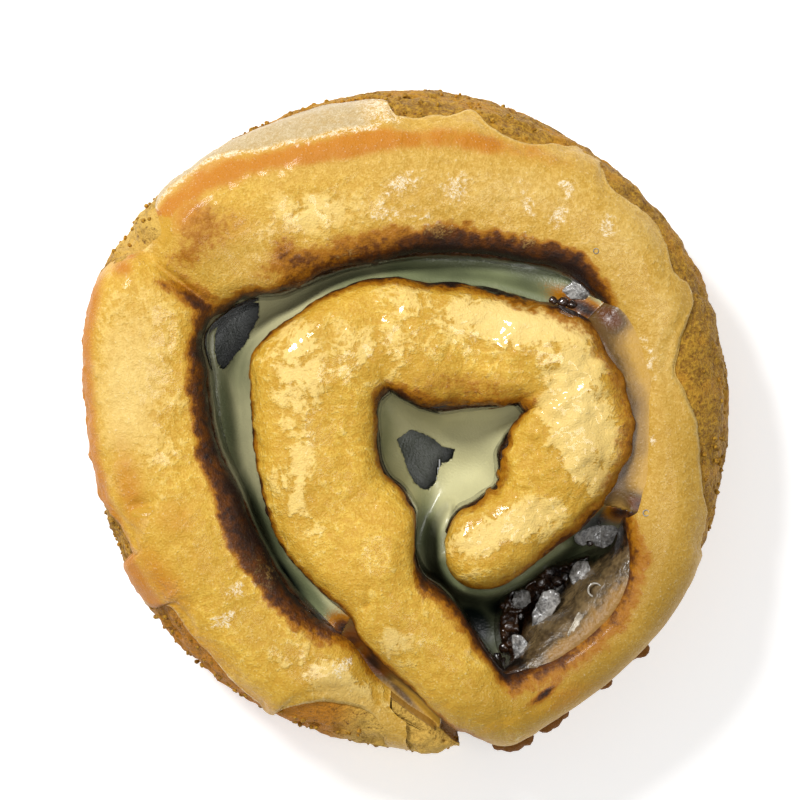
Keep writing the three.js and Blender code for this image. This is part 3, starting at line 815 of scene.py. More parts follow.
STAIN_ZONES = [
    (300, 262, 34, 11, 15, 0.62), (285, 258, 14, 20, 0, 0.5), (355, 252, 40, 11, 4, 0.35),
    (198, 300, 30, 9, -35, 0.85), (206, 316, 14, 14, 0, 0.75), (165, 282, 12, 6, -30, 0.5),
    (544, 694, 15, 4, 38, 0.85), (468, 223, 5, 3, 0, 0.5), (518, 405, 12, 8, 0, 0.4),
    (206, 230, 30, 22, 45, 0.3), (184, 256, 14, 20, -30, 0.34), (470, 385, 60, 12, -6, 0.22),
    (570, 320, 20, 8, -40, 0.3), (425, 255, 60, 10, 0, 0.3),
]
# Painted shade: where the icing is turned olive because it lies darker away from the light, mostly at the
# right and bottom right
PAINTED_SHADE_ZONES = [
    (690, 440, 44, 200, 0, 0.35), (655, 590, 60, 90, 30, 0.75), (590, 665, 80, 56, 40, 0.8),
    (510, 710, 90, 40, 8, 0.85), (400, 660, 60, 60, -40, 0.35), (210, 560, 50, 60, -40, 0.15),
    (330, 700, 50, 30, 0, 0.45), (470, 395, 70, 16, -8, 0.45), (600, 480, 16, 50, 10, 0.5),
    (260, 630, 60, 26, -40, 0.3), (620, 330, 24, 60, 0, 0.3), (215, 260, 50, 26, 20, 0.4),
    (325, 330, 20, 30, 0, 0.2),
]
CALM_ZONES = [(128, 385, 46, 110, -5, 1.0)]
PATCHY_ZONES = [(310, 212, 60, 30, 10, 1.0), (230, 205, 44, 34, 30, 0.8), (520, 700, 60, 20, 8, 0.5)]
GROOVES = [
    (166, 272, 44, 4, -37, 1.3), (148, 256, 14, 8, -40, 1.2), (140, 505, 12, 5, 10, 0.8),
    (366, 604, 5, 2.5, 50, 0.6),
]
BARE_ZONES = [
    (152, 236, 16, 26, -30, 1.2), (620, 178, 16, 12, -40, 0.9), (143, 512, 16, 7, 10, 0.9),
    (366, 604, 5, 3, 50, 0.9), (500, 724, 36, 9, 22, 0.7), (541, 708, 28, 8, 28, 0.65),
]


def icing_place(a, t):
    """The place along the section at t: from 0 low on the inner rim round it, over the crown, and round the
    shoulder to where the icing ends at 1."""
    edge = icing_edge_place(a)
    bend = np.minimum(3.0, edge - 0.12)
    rim = 1 + t / RIM_SHARE
    crown = 2 + (bend - 2) * (t - RIM_SHARE) / (CROWN_SHARE - RIM_SHARE)
    shoulder = bend + (edge - bend) * (t - CROWN_SHARE) / (1 - CROWN_SHARE)
    return np.where(t < RIM_SHARE, rim, np.where(t < CROWN_SHARE, crown, shoulder))


def icing_relief(ground, a, left):
    """How far the icing stands off its mean thickness: soft waves, and lumps that are strongest on the right
    of the inner turn and faint on the smooth band outside it."""
    calm = span(a, *CALM_RELIEF)
    lumpy = bump(a, 20, 110) * (1 - ease(200, 230, a))
    lumps = (0.22 + 0.38 * lumpy) * rough(ground, 3.4, 3, seed=4)
    lumps = lumps + (0.14 + 0.22 * lumpy) * rough(ground, 1.3, 2, seed=6)
    swell = 0.3 * rough(ground, 7, 2, seed=2)
    crumbly = bump(a, 185, 95) * (1 - ease(2.6, 4.4, left))
    lumps = lumps + crumbly * 0.4 * rough(ground, 1.0, 2, seed=9)
    inner_turn = 1 - ease(*INNER_TURN_ENDS, a)
    ends = ease(0, 1.2, left) * (1 - inner_turn) + inner_turn
    return (swell + lumps) * (1 - 0.75 * calm) * ends


def icing_surface(a, t):
    """Points of the icing's top and what is painted there. t runs 0-1 from its inner edge to its outer edge,
    by way of the strip's rim, crown and shoulder."""
    place = icing_place(a, t)
    ground = on_dough(a, place)
    run = run_along(ground)
    left = run[:, -1:] - run
    bead = ease(274, 300, a)
    rounding = np.sqrt(1 - (1 - np.clip(left / 0.7, 0, 1)) ** 2)
    cover = ICING_OFF - 0.85 * bead * (1 - rounding) + 0.12 * bead * np.exp(-((left - 0.9) / 0.6) ** 2)
    cover = cover - 0.62 * (1 - ease(0, 5, left)) - 0.5 * (1 - ease(0, 4, run)) - 0.1
    slanted = a - END_SLANT * t + END_SHIFT
    cover = cover * (1 - 0.85 * ease(608, 619, slanted))
    thin_end = 1 - ease(606, 619, slanted)
    points = ground + outward_at(a, place) * (cover + icing_relief(ground, a, left) * thin_end)[..., None]
    across, _ = on_section(a, place)
    inner, outer = faces_at(a, top_height(a))
    width = outer - inner
    from_inner = (1 + across) * width / 2
    inset = (1 - across) * width / 2 - np.maximum(place - 4, 0) * 17
    black, brown = inner_black(a), inner_brown(a)
    ragged = rough(ground, 3.2, 2, seed=7) + 0.6 * rough(ground, 1.2, 2, seed=8)
    stain = stain_by(from_inner + ragged * 0.28 * brown, black, brown) * inner_strength(a)
    brown = outer_brown(a)
    stain_out = stain_by(np.maximum(inset + ragged * 0.35 * brown, 0), outer_black(a), brown)
    stain = np.maximum(stain, stain_out * outer_strength(a) * (1 - ease(272, 284, a)))
    stain = np.maximum(stain, zones(points, STAIN_ZONES))
    crest = span(a, *CREST)
    off_crest = inset - crest_line(a) + rough(ground, 7, 3, seed=61)
    mottled = 0.8 + 0.2 * ease(440, 465, a) + 0.5 * rough(ground, 3.0, 3, seed=62)
    toast = crest * np.exp(-(off_crest / 1.7) ** 2) * mottled
    left_rim = span(a, *LEFT_RIM) * ease(-1.2, -0.2, inset)
    left_rim = left_rim * np.exp(-(np.maximum(inset - 0.2, 0) / 1.7) ** 2)
    toast = np.maximum(toast, left_rim * 1.1)
    toast = np.maximum(toast, zones(points, TOAST_ZONES))
    cream = np.maximum(zones(points, CREAM_ZONES), 0.6 * bead * (1 - ease(0.3, 1.4, left)))
    cream = cream * (1 - 0.8 * left_rim)
    slope = span(a, *FROSTED_SLOPE) * ease(0.9, 2.4, -off_crest)
    frost = np.maximum(zones(points, FROST_ZONES), slope * 0.9)
    values = {"stain": stain, "toast": toast, "cream": cream, "frost": frost}
    calm = span(a, *SMOOTH_BAND) * (1 - zones(points, PATCHY_ZONES))
    calm = np.maximum(calm, zones(points, CALM_ZONES))
    values["calm"] = np.maximum(calm, ease(596, 606, a) * ease(0.3, 0.7, t))
    # the shade paint is painted shade, from the painted shade zones
    return points, {**values, "shade": zones(points, PAINTED_SHADE_ZONES), "bare": zones(points, BARE_ZONES)}


def soften(points, share, rounds=70):
    """Evens out a share of each row of points with the rows beside it."""
    smooth = points.copy()
    for _ in range(rounds):
        smooth[1:-1] = (smooth[:-2] + 2 * smooth[1:-1] + smooth[2:]) / 4
    return points + (smooth - points) * share[:, None, None]


def slanted_end(a, t):
    """Draws the coat's last stretch out so that it ends along a slanting, ragged line over the tail."""
    ragged = 1.5 * rough(np.stack([t * 12, 0 * t, 0 * t], -1), 2.4, 3, seed=3)
    return a + (END_SLANT * t - END_SHIFT + ragged) * ease(602, ICING_END, a)


def icing_piece(finish):
    """The coat as a closed thin shell: its top as above, and a plain underside close to the dough."""
    angles = stations(TIP_ANGLE, ICING_END, 0.5)
    parts = (0, RIM_SHARE, 14), (RIM_SHARE, CROWN_SHARE, 42), (CROWN_SHARE, 1.0, 25)
    top_t = np.append(spread(*parts), 1.0)
    under_t = np.linspace(1, 0, 12)
    a, t = np.meshgrid(angles, top_t, indexing="ij")
    a = slanted_end(a, t)
    points, values = icing_surface(a, t)
    a2, t2 = np.meshgrid(angles, under_t, indexing="ij")
    a2 = slanted_end(a2, t2)
    under = off_dough(a2, icing_place(a2, t2), 0 * a2 + 0.05)
    points = inside_box(np.concatenate([points, under], axis=1))
    points = soften(points, bump(angles, CRACK_ANGLE, 14) * ease(480, 490, angles))
    points[..., 2] -= zones(points, GROOVES) * (points[..., 2] > 16)
    values = {k: np.concatenate([v, v[:, -1:] + 0 * t2], axis=1) for k, v in values.items()}
    add_piece(tube_mesh("icing_coat", points, values), finish, "icing", "icing")


# ---- the filling ----
HEAP_SLOPE = [(0, 8), (0.12, 7.6), (0.5, 6.2), (0.8, 4.2), (1.0, 2.6), (1.2, 1.3), (1.4, 0.6), (1.75, 0)]


def filling_piece(finish):
    """The dark sheet against the strip's inner face: a thin layer that swells into the heap in the pit and
    laps over the rim there."""
    angles = stations(TIP_ANGLE + 4, TAIL_ANGLE - 5, 0.6)
    places = np.linspace(0.05, 1.75, 56)
    a, p = np.meshgrid(angles, places, indexing="ij")
    heap, tail = span(a, *HEAP), ease(*TAIL_STARTS, a)
    slope = np.interp(p, *np.transpose(HEAP_SLOPE))
    ground = on_dough(a, p)
    lumps = 1 + 0.22 * rough(ground, 4.5, 3, seed=12)
    thick = 0.5 + heap * slope * lumps + 0.1 * rough(ground, 1.4, 2, seed=13)
    thick = thick * (1 - ease(1.2, 1.5, p) * (1 - heap)) * (1 - ease(1.45, 1.75, p)) * (1 - tail)
    base = CLEARANCE * (1 - ease(1.5, 1.75, p)) * (1 - 0.8 * tail)
    far = ground + outward_at(a, p) * (base + thick)[..., None]
    near = off_dough(a, p, 0 * p + 0.05)[:, ::-1]
    points = inside_box(np.concatenate([far, near], axis=1))
    clear = heap * (ease(0.45, 0.95, p) + 0.7 * ease(1.0, 1.5, p)) + 1.8 * ease(594, 606, a)
    painted = {"clear": np.concatenate([clear, clear[:, ::-1]], axis=1)}
    add_piece(tube_mesh("dark_filling", points, painted), finish, "filling", "cinnamon_filling")


# ---- the glaze in the gaps ----
Raster = namedtuple("Raster", "x y z near along into past")
CELL = 0.2  # the raster's step
HALF_SPAN = 48.0  # half the raster's width
SAG_REACH = 2.2  # how far from a wall the glaze still hangs from it
FILM_THICKNESS = 0.35
FILM_GRIP = 1.2  # how far a film runs into the dough beside its gap
SEAM_GRIP = 3.0  # the same for the film over the closed seams
UNDER_LEVEL = 5.0  # the height of the dark film under the torn holes
# The heights where the glaze takes hold of the strip's inner face and of the first turn's outer face, and the
# height that it sags to
hold_inner = curve([
    (-86, 20.5), (-40, 20.5), (10, 22.0), (38, 24.5), (60, 22.0), (130, 20.5), (200, 19.5), (228, 17.0),
    (250, 13.0), (268, 9.5), (284, 8.0), (330, 9.0), (346, 26.6), (400, 25.8), (408, 22.5), (418, 21.0),
    (440, 20.5), (468, 19.5), (486, 17.0), (504, 14.5), (560, 14.0), (580, 19.0), (596, 23.6), (604, 24.4),
    (612, 23.8), (620, 23.0), (628, 22.3), (634, 20.0),
])
hold_outer = curve([
    (-86, 21.0), (-60, 21.5), (-30, 22.0), (-16, 26.4), (40, 26.4), (47, 23.5), (60, 23.0), (200, 23.0),
    (225, 24.4), (240, 25.8), (274, 25.0),
])
sag_level = curve([
    (-86, 8.5), (-64, 11.0), (-40, 12.2), (0, 12.6), (24, 15.5), (52, 15.5), (80, 12.4), (200, 12.2),
    (228, 12.0), (250, 10.5), (268, 8.5), (284, 7.5), (330, 8.0), (346, 26.2), (400, 25.5), (408, 22.5),
    (418, 20.5), (440, 19.5), (466, 18.0), (486, 14.6), (504, 12.8), (540, 12.6), (560, 14.0), (576, 18.0),
    (590, 22.4), (604, 24.6), (612, 24.0), (620, 23.4), (634, 21.0),
])


def settle(z, fixed, level, reach, rounds, cell):
    """Lets free heights settle between the fixed ones: each becomes the mean of its neighbours, drawn towards
    its sag level, which is felt past the reach from a wall."""
    pull = (cell / reach) ** 2 / 4
    for _ in range(rounds):
        mean = (np.roll(z, 1, 0) + np.roll(z, -1, 0) + np.roll(z, 1, 1) + np.roll(z, -1, 1)) / 4
        z = np.where(fixed, z, (mean + pull * level) / (1 + pull))
    return z


def distance_from(wall, fixed):
    """Roughly how far a free cell lies from a wall: a charge of 1 on the wall fades by e over each reach."""
    charge = settle(wall.astype(float), fixed, np.zeros(wall.shape), 2.0, 160, CELL)
    return -2.0 * np.log(np.maximum(charge, 1e-4))


def gap_raster():
    """The glaze's heights z on a square raster, with how near a wall is (1 at it, fading in half a
    millimetre), the angle along the winding, and the distances into the dough and past the first turn."""
    x = np.arange(-HALF_SPAN, HALF_SPAN + CELL / 2, CELL)
    gx, gy = np.meshgrid(x, x, indexing="ij")
    radius = np.hypot(gx - COIL_X, gy - COIL_Y)
    first = (np.degrees(np.arctan2(gy - COIL_Y, gx - COIL_X)) - TIP_ANGLE) % 360 + TIP_ANGLE
    inner_0, outer_0 = faces_at(first, 0 * first + 22)
    inner_1 = faces_at(first + 360, 0 * first + 22)[0]
    in_first = (radius > inner_0) & (radius < outer_0)
    in_second = radius > inner_1
    past_first = radius > (inner_0 + outer_0) / 2
    along = np.where(past_first, first + 360, first)
    holds = np.where(past_first, hold_outer(first), hold_inner(first))
    holds = np.where(in_second, hold_inner(first + 360), holds)
    into = np.where(in_second, radius - inner_1, np.minimum(radius - inner_0, outer_0 - radius))
    fixed = in_first | in_second
    level = sag_level(along)
    z = np.where(fixed, holds, level)
    for skip, rounds in ((4, 160), (2, 120), (1, 90)):
        some = (slice(None, None, skip),) * 2
        part = settle(z[some], fixed[some], level[some], SAG_REACH, rounds, CELL * skip)
        wide = np.repeat(np.repeat(part, skip, 0), skip, 1)[:z.shape[0], :z.shape[1]]
        z = np.where(fixed, z, wide)
    away = distance_from(in_first, fixed)
    gap_ridge = span(along, *TOP_GAP_RIDGE) * ~fixed
    z = z + gap_ridge * 1.1 * np.exp(-((away - 1.7) / 0.8) ** 2)
    away = distance_from(in_first & (first < 60), fixed)
    at_tip = (span(along, *TIP_SHELF) + (1 - ease(-80, -50, along)) * (along < 0)) * ~fixed
    wobble = 0.5 * rough(np.stack([gx, gy, 0 * gx], -1), 4, 2, seed=71)
    off_tip = away + wobble
    shelf = 9 + 11.5 * (1 - ease(1.8, 6.4, off_tip)) + 0.55 * np.exp(-((off_tip - 2.6) / 0.8) ** 2)
    z = np.where(fixed | (away > 6), z, np.maximum(z, shelf * at_tip))
    z = settle(z, fixed, z, SAG_REACH, 9, CELL)
    near = settle(fixed.astype(float), fixed, 0 * z, 0.5, 30, CELL)
    return Raster(gx, gy, z, near, along, np.where(fixed, into, 0), radius - outer_0)


HOLE_IN_MIDDLE = [
    (397, 439), (411, 429), (428, 435), (442, 446), (455, 449), (452, 460), (442, 465), (438, 471),
    (436, 482), (429, 490), (422, 489), (414, 482), (406, 466), (402, 452),
]
HOLE_AT_LEFT = [
    (244, 301), (259, 303), (259, 317), (252, 331), (245, 345), (238, 352), (231, 361), (224, 369),
    (219, 368), (215, 352), (215, 335), (221, 318), (229, 309),
]


def torn_loop(corners, height, seed):
    """The outline of a torn hole: straight runs between corners, with a fine jagged edge."""
    ring = np.array([seen(c, r, height) for c, r in corners])
    fine = []
    for a, b in zip(ring, np.roll(ring, -1, axis=0)):
        steps = max(2, int(np.linalg.norm(b - a) / 0.2))
        fine += [a + (b - a) * k / steps for k in range(steps)]
    fine = np.array(fine)
    jag = np.random.default_rng(seed).normal(0, 0.05, fine.shape)
    return fine + jag


def inside_loop(x, y, loop):
    """Which points lie inside a loop: an odd number of its sides cross the line to the right of the point."""
    inside = np.zeros(x.shape, bool)
    for (ax, ay), (bx, by) in zip(loop, np.roll(loop, -1, axis=0)):
        crosses = (ay > y) != (by > y)
        at = ax + (y - ay) * (bx - ax) / (by - ay if by != ay else 1e-9)
        inside ^= crosses & (x < at)
    return inside


def tear(points, quads, loop):
    """Takes out the quads inside a loop and draws the points beside its line onto it."""
    x, y = points[:, 0], points[:, 1]
    near = np.abs(x - loop[:, 0].mean()) + np.abs(y - loop[:, 1].mean()) < 14
    index = np.nonzero(near)[0]
    gap = np.hypot(x[index, None] - loop[None, :, 0], y[index, None] - loop[None, :, 1])
    best = gap.argmin(axis=1)
    hit = gap[np.arange(len(index)), best] < 0.15
    middle = points[quads].mean(axis=1)
    out = inside_loop(middle[:, 0], middle[:, 1], loop)
    points[index[hit], :2] = loop[best[hit]]
    return points, quads[~out]


# Zones of the glaze films: where they are deep and dark, partly painted shade in the pit, the channel, the
# hole's left side and under the overhanging rims of the top gap, where syrup has stained them, and where the
# smear over a seam ends in the dark
FILM_DARK_AND_SHADE = [
    (600, 522, 44, 16, 35, 1.8), (448, 578, 30, 14, -45, 1.2), (500, 588, 46, 12, 5, 1.3),
    (560, 560, 60, 12, 32, 1.3), (432, 550, 14, 36, 0, 0.9), (285, 580, 12, 60, 40, 1.9),
    (335, 625, 12, 30, 45, 0.8), (425, 595, 14, 40, 30, 1.2), (470, 635, 34, 36, -50, 2.4),
    (510, 615, 40, 18, 0, 2.0), (560, 585, 50, 26, 30, 1.8), (384, 440, 14, 70, 0, 0.5),
    (425, 535, 16, 50, 0, 0.8), (225, 350, 30, 60, 20, 0.6), (222, 420, 12, 90, 8, 0.8),
    (262, 530, 14, 70, 30, 1.1), (300, 590, 14, 70, 40, 1.1), (360, 280, 50, 16, 10, 0.75),
    (450, 272, 80, 26, 0, 1.3), (530, 280, 50, 28, -10, 1.3), (575, 290, 24, 20, -20, 1.3),
    (430, 254, 90, 6, 0, 1.9), (530, 260, 70, 7, -10, 2.0),
]
FILM_STAIN = [
    (346, 632, 18, 12, -45, 0.95), (585, 308, 30, 10, -30, 0.9), (622, 512, 14, 10, 0, 0.9),
]


SEAM_DARK = [
    (612, 316, 22, 14, -40, 0.9), (640, 505, 20, 12, -30, 0.9), (374, 664, 26, 12, -45, 1.0),
    (352, 642, 16, 14, -45, 0.9), (402, 696, 30, 4, -45, 0.6),
]


def film_mesh(name, raster, wanted, reach, holes=()):
    """A glaze film from the raster's cells that are wanted and lie in the gap or less than the reach into the
    dough beside it."""
    quads = grid_faces(*raster.x.shape)
    keep = (raster.into < reach).ravel()[quads].all(axis=1) & wanted.ravel()[quads[:, 0]]
    used, quads = only_used(quads[keep])
    points = np.stack([g.ravel()[used] for g in raster[:3]], axis=-1)
    points[:, 2] += 0.1 * rough(points, 3.2, 2, seed=24)
    wall = raster.near.ravel()[used]
    ragged = rough(points, 1.2, 2, seed=25)
    stain = np.maximum(ease(0.6, 1.0, wall + 0.2 * ragged) * 0.8, zones(points, FILM_STAIN))
    # the deep paint holds painted shade as well as the glaze's own darker tone where it is deep
    deep = 0.1 + zones(points, FILM_DARK_AND_SHADE)
    for hole in holes:
        points, quads = tear(points, quads, hole)
    return make_mesh(name, points, quads, (), {"stain": stain, "deep": deep})


def add_sheet(mesh, finish, slot, *stands_for):
    """Adds an open sheet as a piece and gives it its thickness, below the side that shows."""
    piece = add_piece(mesh, finish, slot, *stands_for)
    made = piece.modifiers.new("thickness", "SOLIDIFY")
    made.thickness, made.offset = FILM_THICKNESS / 1000, -1.0
    made.use_even_offset = False


def glaze_pieces(finish, smear):
    """The films that one raster gives: in the middle hole and the pit, in the long gap at the left and top,
    over the closed seams, and the dark one that shows through the torn holes, a lower glaze layer that also
    paints in the shade below them."""
    raster = gap_raster()
    along, past = raster.along, raster.past
    side = (along > SIDE_GAP[0]) & (along < SIDE_GAP[1])
    middle = along < HOLE_ENDS
    mesh = film_mesh("middle_glaze_film", raster, middle, FILM_GRIP, [torn_loop(HOLE_IN_MIDDLE, 12.8, 5)])
    add_sheet(mesh, finish, "glaze", "middle_glaze")
    mesh = film_mesh("side_glaze_film", raster, side, FILM_GRIP, [torn_loop(HOLE_AT_LEFT, 14.0, 3)])
    add_sheet(mesh, finish, "glaze", "side_glaze")
    mesh = film_mesh("seam_glaze", raster, ~side & ~middle & (along < SEAM_ENDS), SEAM_GRIP)
    ends = zones(np.stack(raster[:3], -1), SEAM_DARK)
    across = np.clip((past + 1.5) / 5.0, 0, 1)
    across = across + (np.clip(past - 0.1, 0, 1) - across) * ease(600, 610, along)
    repaint(mesh, across * (1 - ends) - 0.3 * ends)
    add_sheet(mesh, smear, "glaze")
    # a dark sheet under the torn holes: painted shade below them, partly a lower glaze layer
    below = ((along < 262) | (along > 485) & (along < 545)) & (raster.into < 0.4)
    mesh = film_mesh("under_glaze_and_shade", raster._replace(z=0 * raster.z + UNDER_LEVEL), below, 0.4)
    repaint(mesh, 1.5 + 0.25 * (along > 300))
    add_sheet(mesh, finish, "glaze")


def repaint(mesh, amount):
    """Gives a film another amount for its deep paint, from a map on the raster."""
    where = np.empty(len(mesh.vertices) * 3, np.float32)
    mesh.vertices.foreach_get("co", where)
    at = np.rint((where.reshape(-1, 3)[:, :2] * 1000 + HALF_SPAN) / CELL).astype(int)
    mesh.attributes["deep"].data.foreach_set("value", amount[at[:, 0], at[:, 1]].astype(np.float32))


# ---- broken glaze, bubbles and crumbs ----
SHARDS = [  # height over what lies below, thickness, slope to the right and to the top, outline in pixels
    (0.5, 0.6, 0.10, 0.05, [(575, 532), (586, 518), (597, 514), (606, 518), (610, 509), (616, 505),
        (621, 510), (621, 518), (626, 524), (619, 529), (615, 538), (610, 546), (602, 549), (592, 543),
        (582, 546), (575, 541)]),
    (0.5, 0.8, 0.25, -0.15, [(578, 561), (588, 561), (591, 569), (588, 577), (591, 586), (579, 588),
        (572, 584), (569, 575), (573, 566)]),
    (0.5, 0.8, 0.3, 0.15, [(542, 592), (551, 589), (559, 592), (560, 600), (555, 610), (550, 618),
        (542, 625), (541, 633), (536, 641), (529, 643), (527, 635), (533, 625), (532, 615), (537, 602)]),
    (0.5, 0.7, -0.2, 0.25, [(514, 592), (523, 589), (530, 592), (531, 602), (523, 609), (514, 607),
        (512, 600)]),
    (0.5, 0.7, 0.25, -0.1, [(512, 635), (521, 635), (528, 643), (530, 653), (528, 664), (518, 667),
        (512, 666), (515, 656), (512, 646)]),
    (0.15, 0.4, -0.3, 0.2, [(578, 612), (584, 615), (583, 623), (577, 629), (569, 637), (567, 634),
        (573, 622)]),
    (0.3, 0.5, 0.2, 0.2, [(556, 578), (563, 584), (568, 592), (562, 598), (552, 594), (553, 585)]),
    (0.4, 0.6, 0.1, 0.2, [(562, 291), (574, 280), (586, 275), (595, 280), (598, 290), (594, 300),
        (583, 301), (570, 298)]),
]
SYRUP_MOUNDS = [  # zones in the pit where dark lumpy syrup stands up
    (512, 632, 11, 30, 0, 1.1), (520, 605, 18, 16, 0, 1.0), (548, 588, 34, 13, 35, 1.2),
    (585, 568, 22, 9, 20, 0.9),
]
DARK_LUMPS = [  # column, row, size in millimetres
    (549, 573, 0.8), (557, 581, 0.9), (566, 577, 0.7), (541, 583, 0.8), (521, 616, 0.9), (509, 627, 0.9),
    (504, 606, 0.6), (505, 648, 0.8), (497, 657, 0.7), (563, 303, 0.8),
    (572, 305, 0.7), (553, 301, 0.6), (590, 543, 0.5), (599, 522, 0.3),
]
RINGS = [  # column, row, radius, the rim's thickness
    (595, 590, 0.95, 0.15), (646, 513, 0.42, 0.07), (596, 251, 0.36, 0.06),
]
PALE_SHARDS = [(574, 624, 14, 18, 0, 1.0), (595, 590, 12, 12, 0, 0.5)]
BURNT = [  # column, row, height, size in millimetres
    (500, 742, 16, 1.2), (508, 742, 15, 1.5), (516, 740, 15, 1.6), (523, 736, 15, 1.4), (545, 723, 16, 1.3),
    (552, 718, 15, 1.7), (560, 713, 15, 1.3), (604, 682, 14, 1.2), (634, 655, 13, 1.1), (639, 648, 13, 1.4),
]


def top_at(column, row):
    """The point of the pieces made so far that shows at a pixel, in millimetres."""
    eye = (CAMERA_X / 1000, CAMERA_Y / 1000, CAMERA_HEIGHT / 1000)
    x, y = seen(column, row, 0)
    way = (x / 1000 - eye[0], y / 1000 - eye[1], -eye[2])
    seen_by = bpy.context.evaluated_depsgraph_get()
    hit, where = bpy.context.scene.ray_cast(seen_by, eye, way)[:2]
    return [1000 * c for c in where] if hit else [x, y, 0.5]


def joined(parts):
    """One set of points, quads and end rings out of several."""
    points, quads, caps, start = [], [], [], 0
    for p, q, rings in parts:
        points.append(p)
        quads.append(q + start)
        caps += [ring + start for ring in rings]
        start += len(p)
    return np.concatenate(points), np.concatenate(quads), caps


def shard(over, thick, lean_x, lean_y, outline, seed):
    """A thin broken slab with rounded edges: rings from the middle of its underside out to its outline and
    back to the middle of its top."""
    height = top_at(*np.mean(outline, axis=0))[2] + over
    ring = np.array([seen(c, r, height) for c, r in outline])
    ring = broken_line(ring, 72, seed)
    middle = ring.mean(axis=0)
    share = np.array([0.06, 0.5, 0.92, 1.0, 1.02, 1.0, 0.95, 0.85, 0.66, 0.36, 0.08])
    lift = np.array([-0.3, -0.3, -0.25, 0.0, 0.4, 0.75, 0.92, 0.97, 1.0, 1.0, 1.0])
    plan = middle + (ring[:, None] - middle) * share[None, :, None]
    z = height + thick * (lift[None, :] - 0.5) + 0 * plan[..., 0]
    z = z + (plan[..., 0] - middle[0]) * lean_x + (plan[..., 1] - middle[1]) * lean_y
    points = np.concatenate([plan, z[..., None]], axis=-1)
    points[..., 2] += 1.3 * np.abs(rough(points, 1.6, 2, seed=seed)) - 0.2
    around, through = points.shape[:2]
    quads = grid_faces(through, around, round_columns=True)
    return points.transpose(1, 0, 2).reshape(-1, 3), quads, end_rings(through, around)


def broken_line(ring, count, seed):
    """A closed line of straight runs through corners, a little rounded and a little jagged."""
    closed = np.concatenate([ring, ring[:1]])
    length = np.concatenate([[0], np.cumsum(np.linalg.norm(np.diff(closed, axis=0), axis=1))])
    at = np.linspace(0, length[-1], count, endpoint=False)
    line = np.stack([np.interp(at, length, closed[:, k]) for k in (0, 1)], axis=1)
    line = line + np.random.default_rng(seed).normal(0, 0.07, line.shape)
    return (2 * line + np.roll(line, 1, 0) + np.roll(line, -1, 0)) / 4


def lump(x, y, z, size, seed, squash=0.75, around=14, down=8):
    """An uneven ball: rings from its bottom to its top, pushed in and out by noise."""
    turn = np.linspace(0, 2 * np.pi, around, endpoint=False)[None, :]
    tilt = np.linspace(0.12, np.pi - 0.12, down)[:, None]
    flat = np.sin(tilt)
    way = np.stack([flat * np.cos(turn), flat * np.sin(turn), -np.cos(tilt) + 0 * turn], axis=-1)
    radius = size * (1 + 0.35 * rough(way + seed * 3.7, 0.9, 2, seed=seed % 7))
    points = np.array([x, y, z]) + way * radius[..., None] * np.array([1, 1, squash])
    quads = grid_faces(down, around, round_columns=True)[:, ::-1]
    caps = [ring[::-1] for ring in end_rings(down, around)]
    return points.reshape(-1, 3), quads, caps


def bubble(x, y, z, radius, tube):
    """A burst bubble's rim: a ring of round section."""
    around, across = 32, 10
    turn = np.linspace(0, 2 * np.pi, around, endpoint=False)[:, None]
    way = np.linspace(0, 2 * np.pi, across, endpoint=False)[None, :]
    out, up = radius + tube * np.cos(way), tube * np.sin(way)
    points = np.stack([x + out * np.cos(turn), y + out * np.sin(turn), z + up + 0 * turn], axis=-1)
    quads = grid_faces(around + 1, across, round_columns=True) % (around * across)
    return points.reshape(-1, 3), quads[:, ::-1], []


def syrup_in_pit(finish, step=0.22, reach=19):
    """The dark, lumpy syrup beside the pit's slope: a rough sheet that stands up in soft mounds."""
    x0, y0 = seen(485, 680)
    x, y = np.meshgrid(np.arange(x0, x0 + reach, step), np.arange(y0, y0 + reach, step), indexing="ij")
    flat = np.stack([x, y, 0 * x], axis=-1)
    mound = zones(flat, SYRUP_MOUNDS)
    lumps = rough(flat, 2.8, 4, seed=33, fall=0.7) * 2.6
    z = 6.5 + 9.5 * ease(0.05, 0.6, mound) + lumps * ease(0.1, 0.4, mound)
    keep = (mound > 0.06).ravel()
    quads = grid_faces(*x.shape)
    used, quads = only_used(quads[keep[quads].all(axis=1)])
    points = np.stack([x, y, z], axis=-1).reshape(-1, 3)[used]
    add_sheet(make_mesh("pit_syrup", points, quads, (), {"clear": np.zeros(len(points))}), finish, "filling")


def add_parts(name, parts, finish, slot, paint, even=0.0, listed=()):
    """Joins parts into one piece, with an even amount of a paint and more of it in some zones."""
    points, quads, caps = joined(parts)
    points = inside_box(points)
    mesh = make_mesh(name, points, quads, caps, {paint: even + zones(points, listed)})
    add_piece(mesh, finish, slot)


def broken_glaze(finish):
    """The broken pieces of glaze in the pit and the gap, and the rims of burst bubbles."""
    parts = [shard(*row, seed=30 + k) for k, row in enumerate(SHARDS)]
    for column, row, radius, tube in RINGS:
        x, y, z = top_at(column, row)
        parts.append(bubble(x, y, z + 0.05, radius, tube))
    add_parts("glaze_shards", parts, finish, "glaze", "pale", listed=PALE_SHARDS)


def dark_lumps(finish):
    """Beads of dark syrup in the pit and at the gap's right end."""
    parts = []
    for k, (column, row, size) in enumerate(DARK_LUMPS):
        x, y, z = top_at(column, row)
        parts.append(lump(x, y, z + 0.1 * size, size, seed=k, squash=0.6))
    add_parts("syrup_lumps", parts, finish, "filling", "clear")


def against_wall(column, row, height, size):
    """The point that shows at a pixel and height, drawn in to where a lump of a size sits on the wall."""
    x, y = seen(column, row, height)
    angle = (np.degrees(np.arctan2(y - COIL_Y, x - COIL_X)) - TIP_ANGLE) % 360 + TIP_ANGLE + 360
    wall = faces_at(np.array(angle), np.array(height))[1]
    radius = min(np.hypot(x - COIL_X, y - COIL_Y), wall + 0.6 * size)
    way = math.radians(angle)
    return COIL_X + radius * math.cos(way), COIL_Y + radius * math.sin(way), height


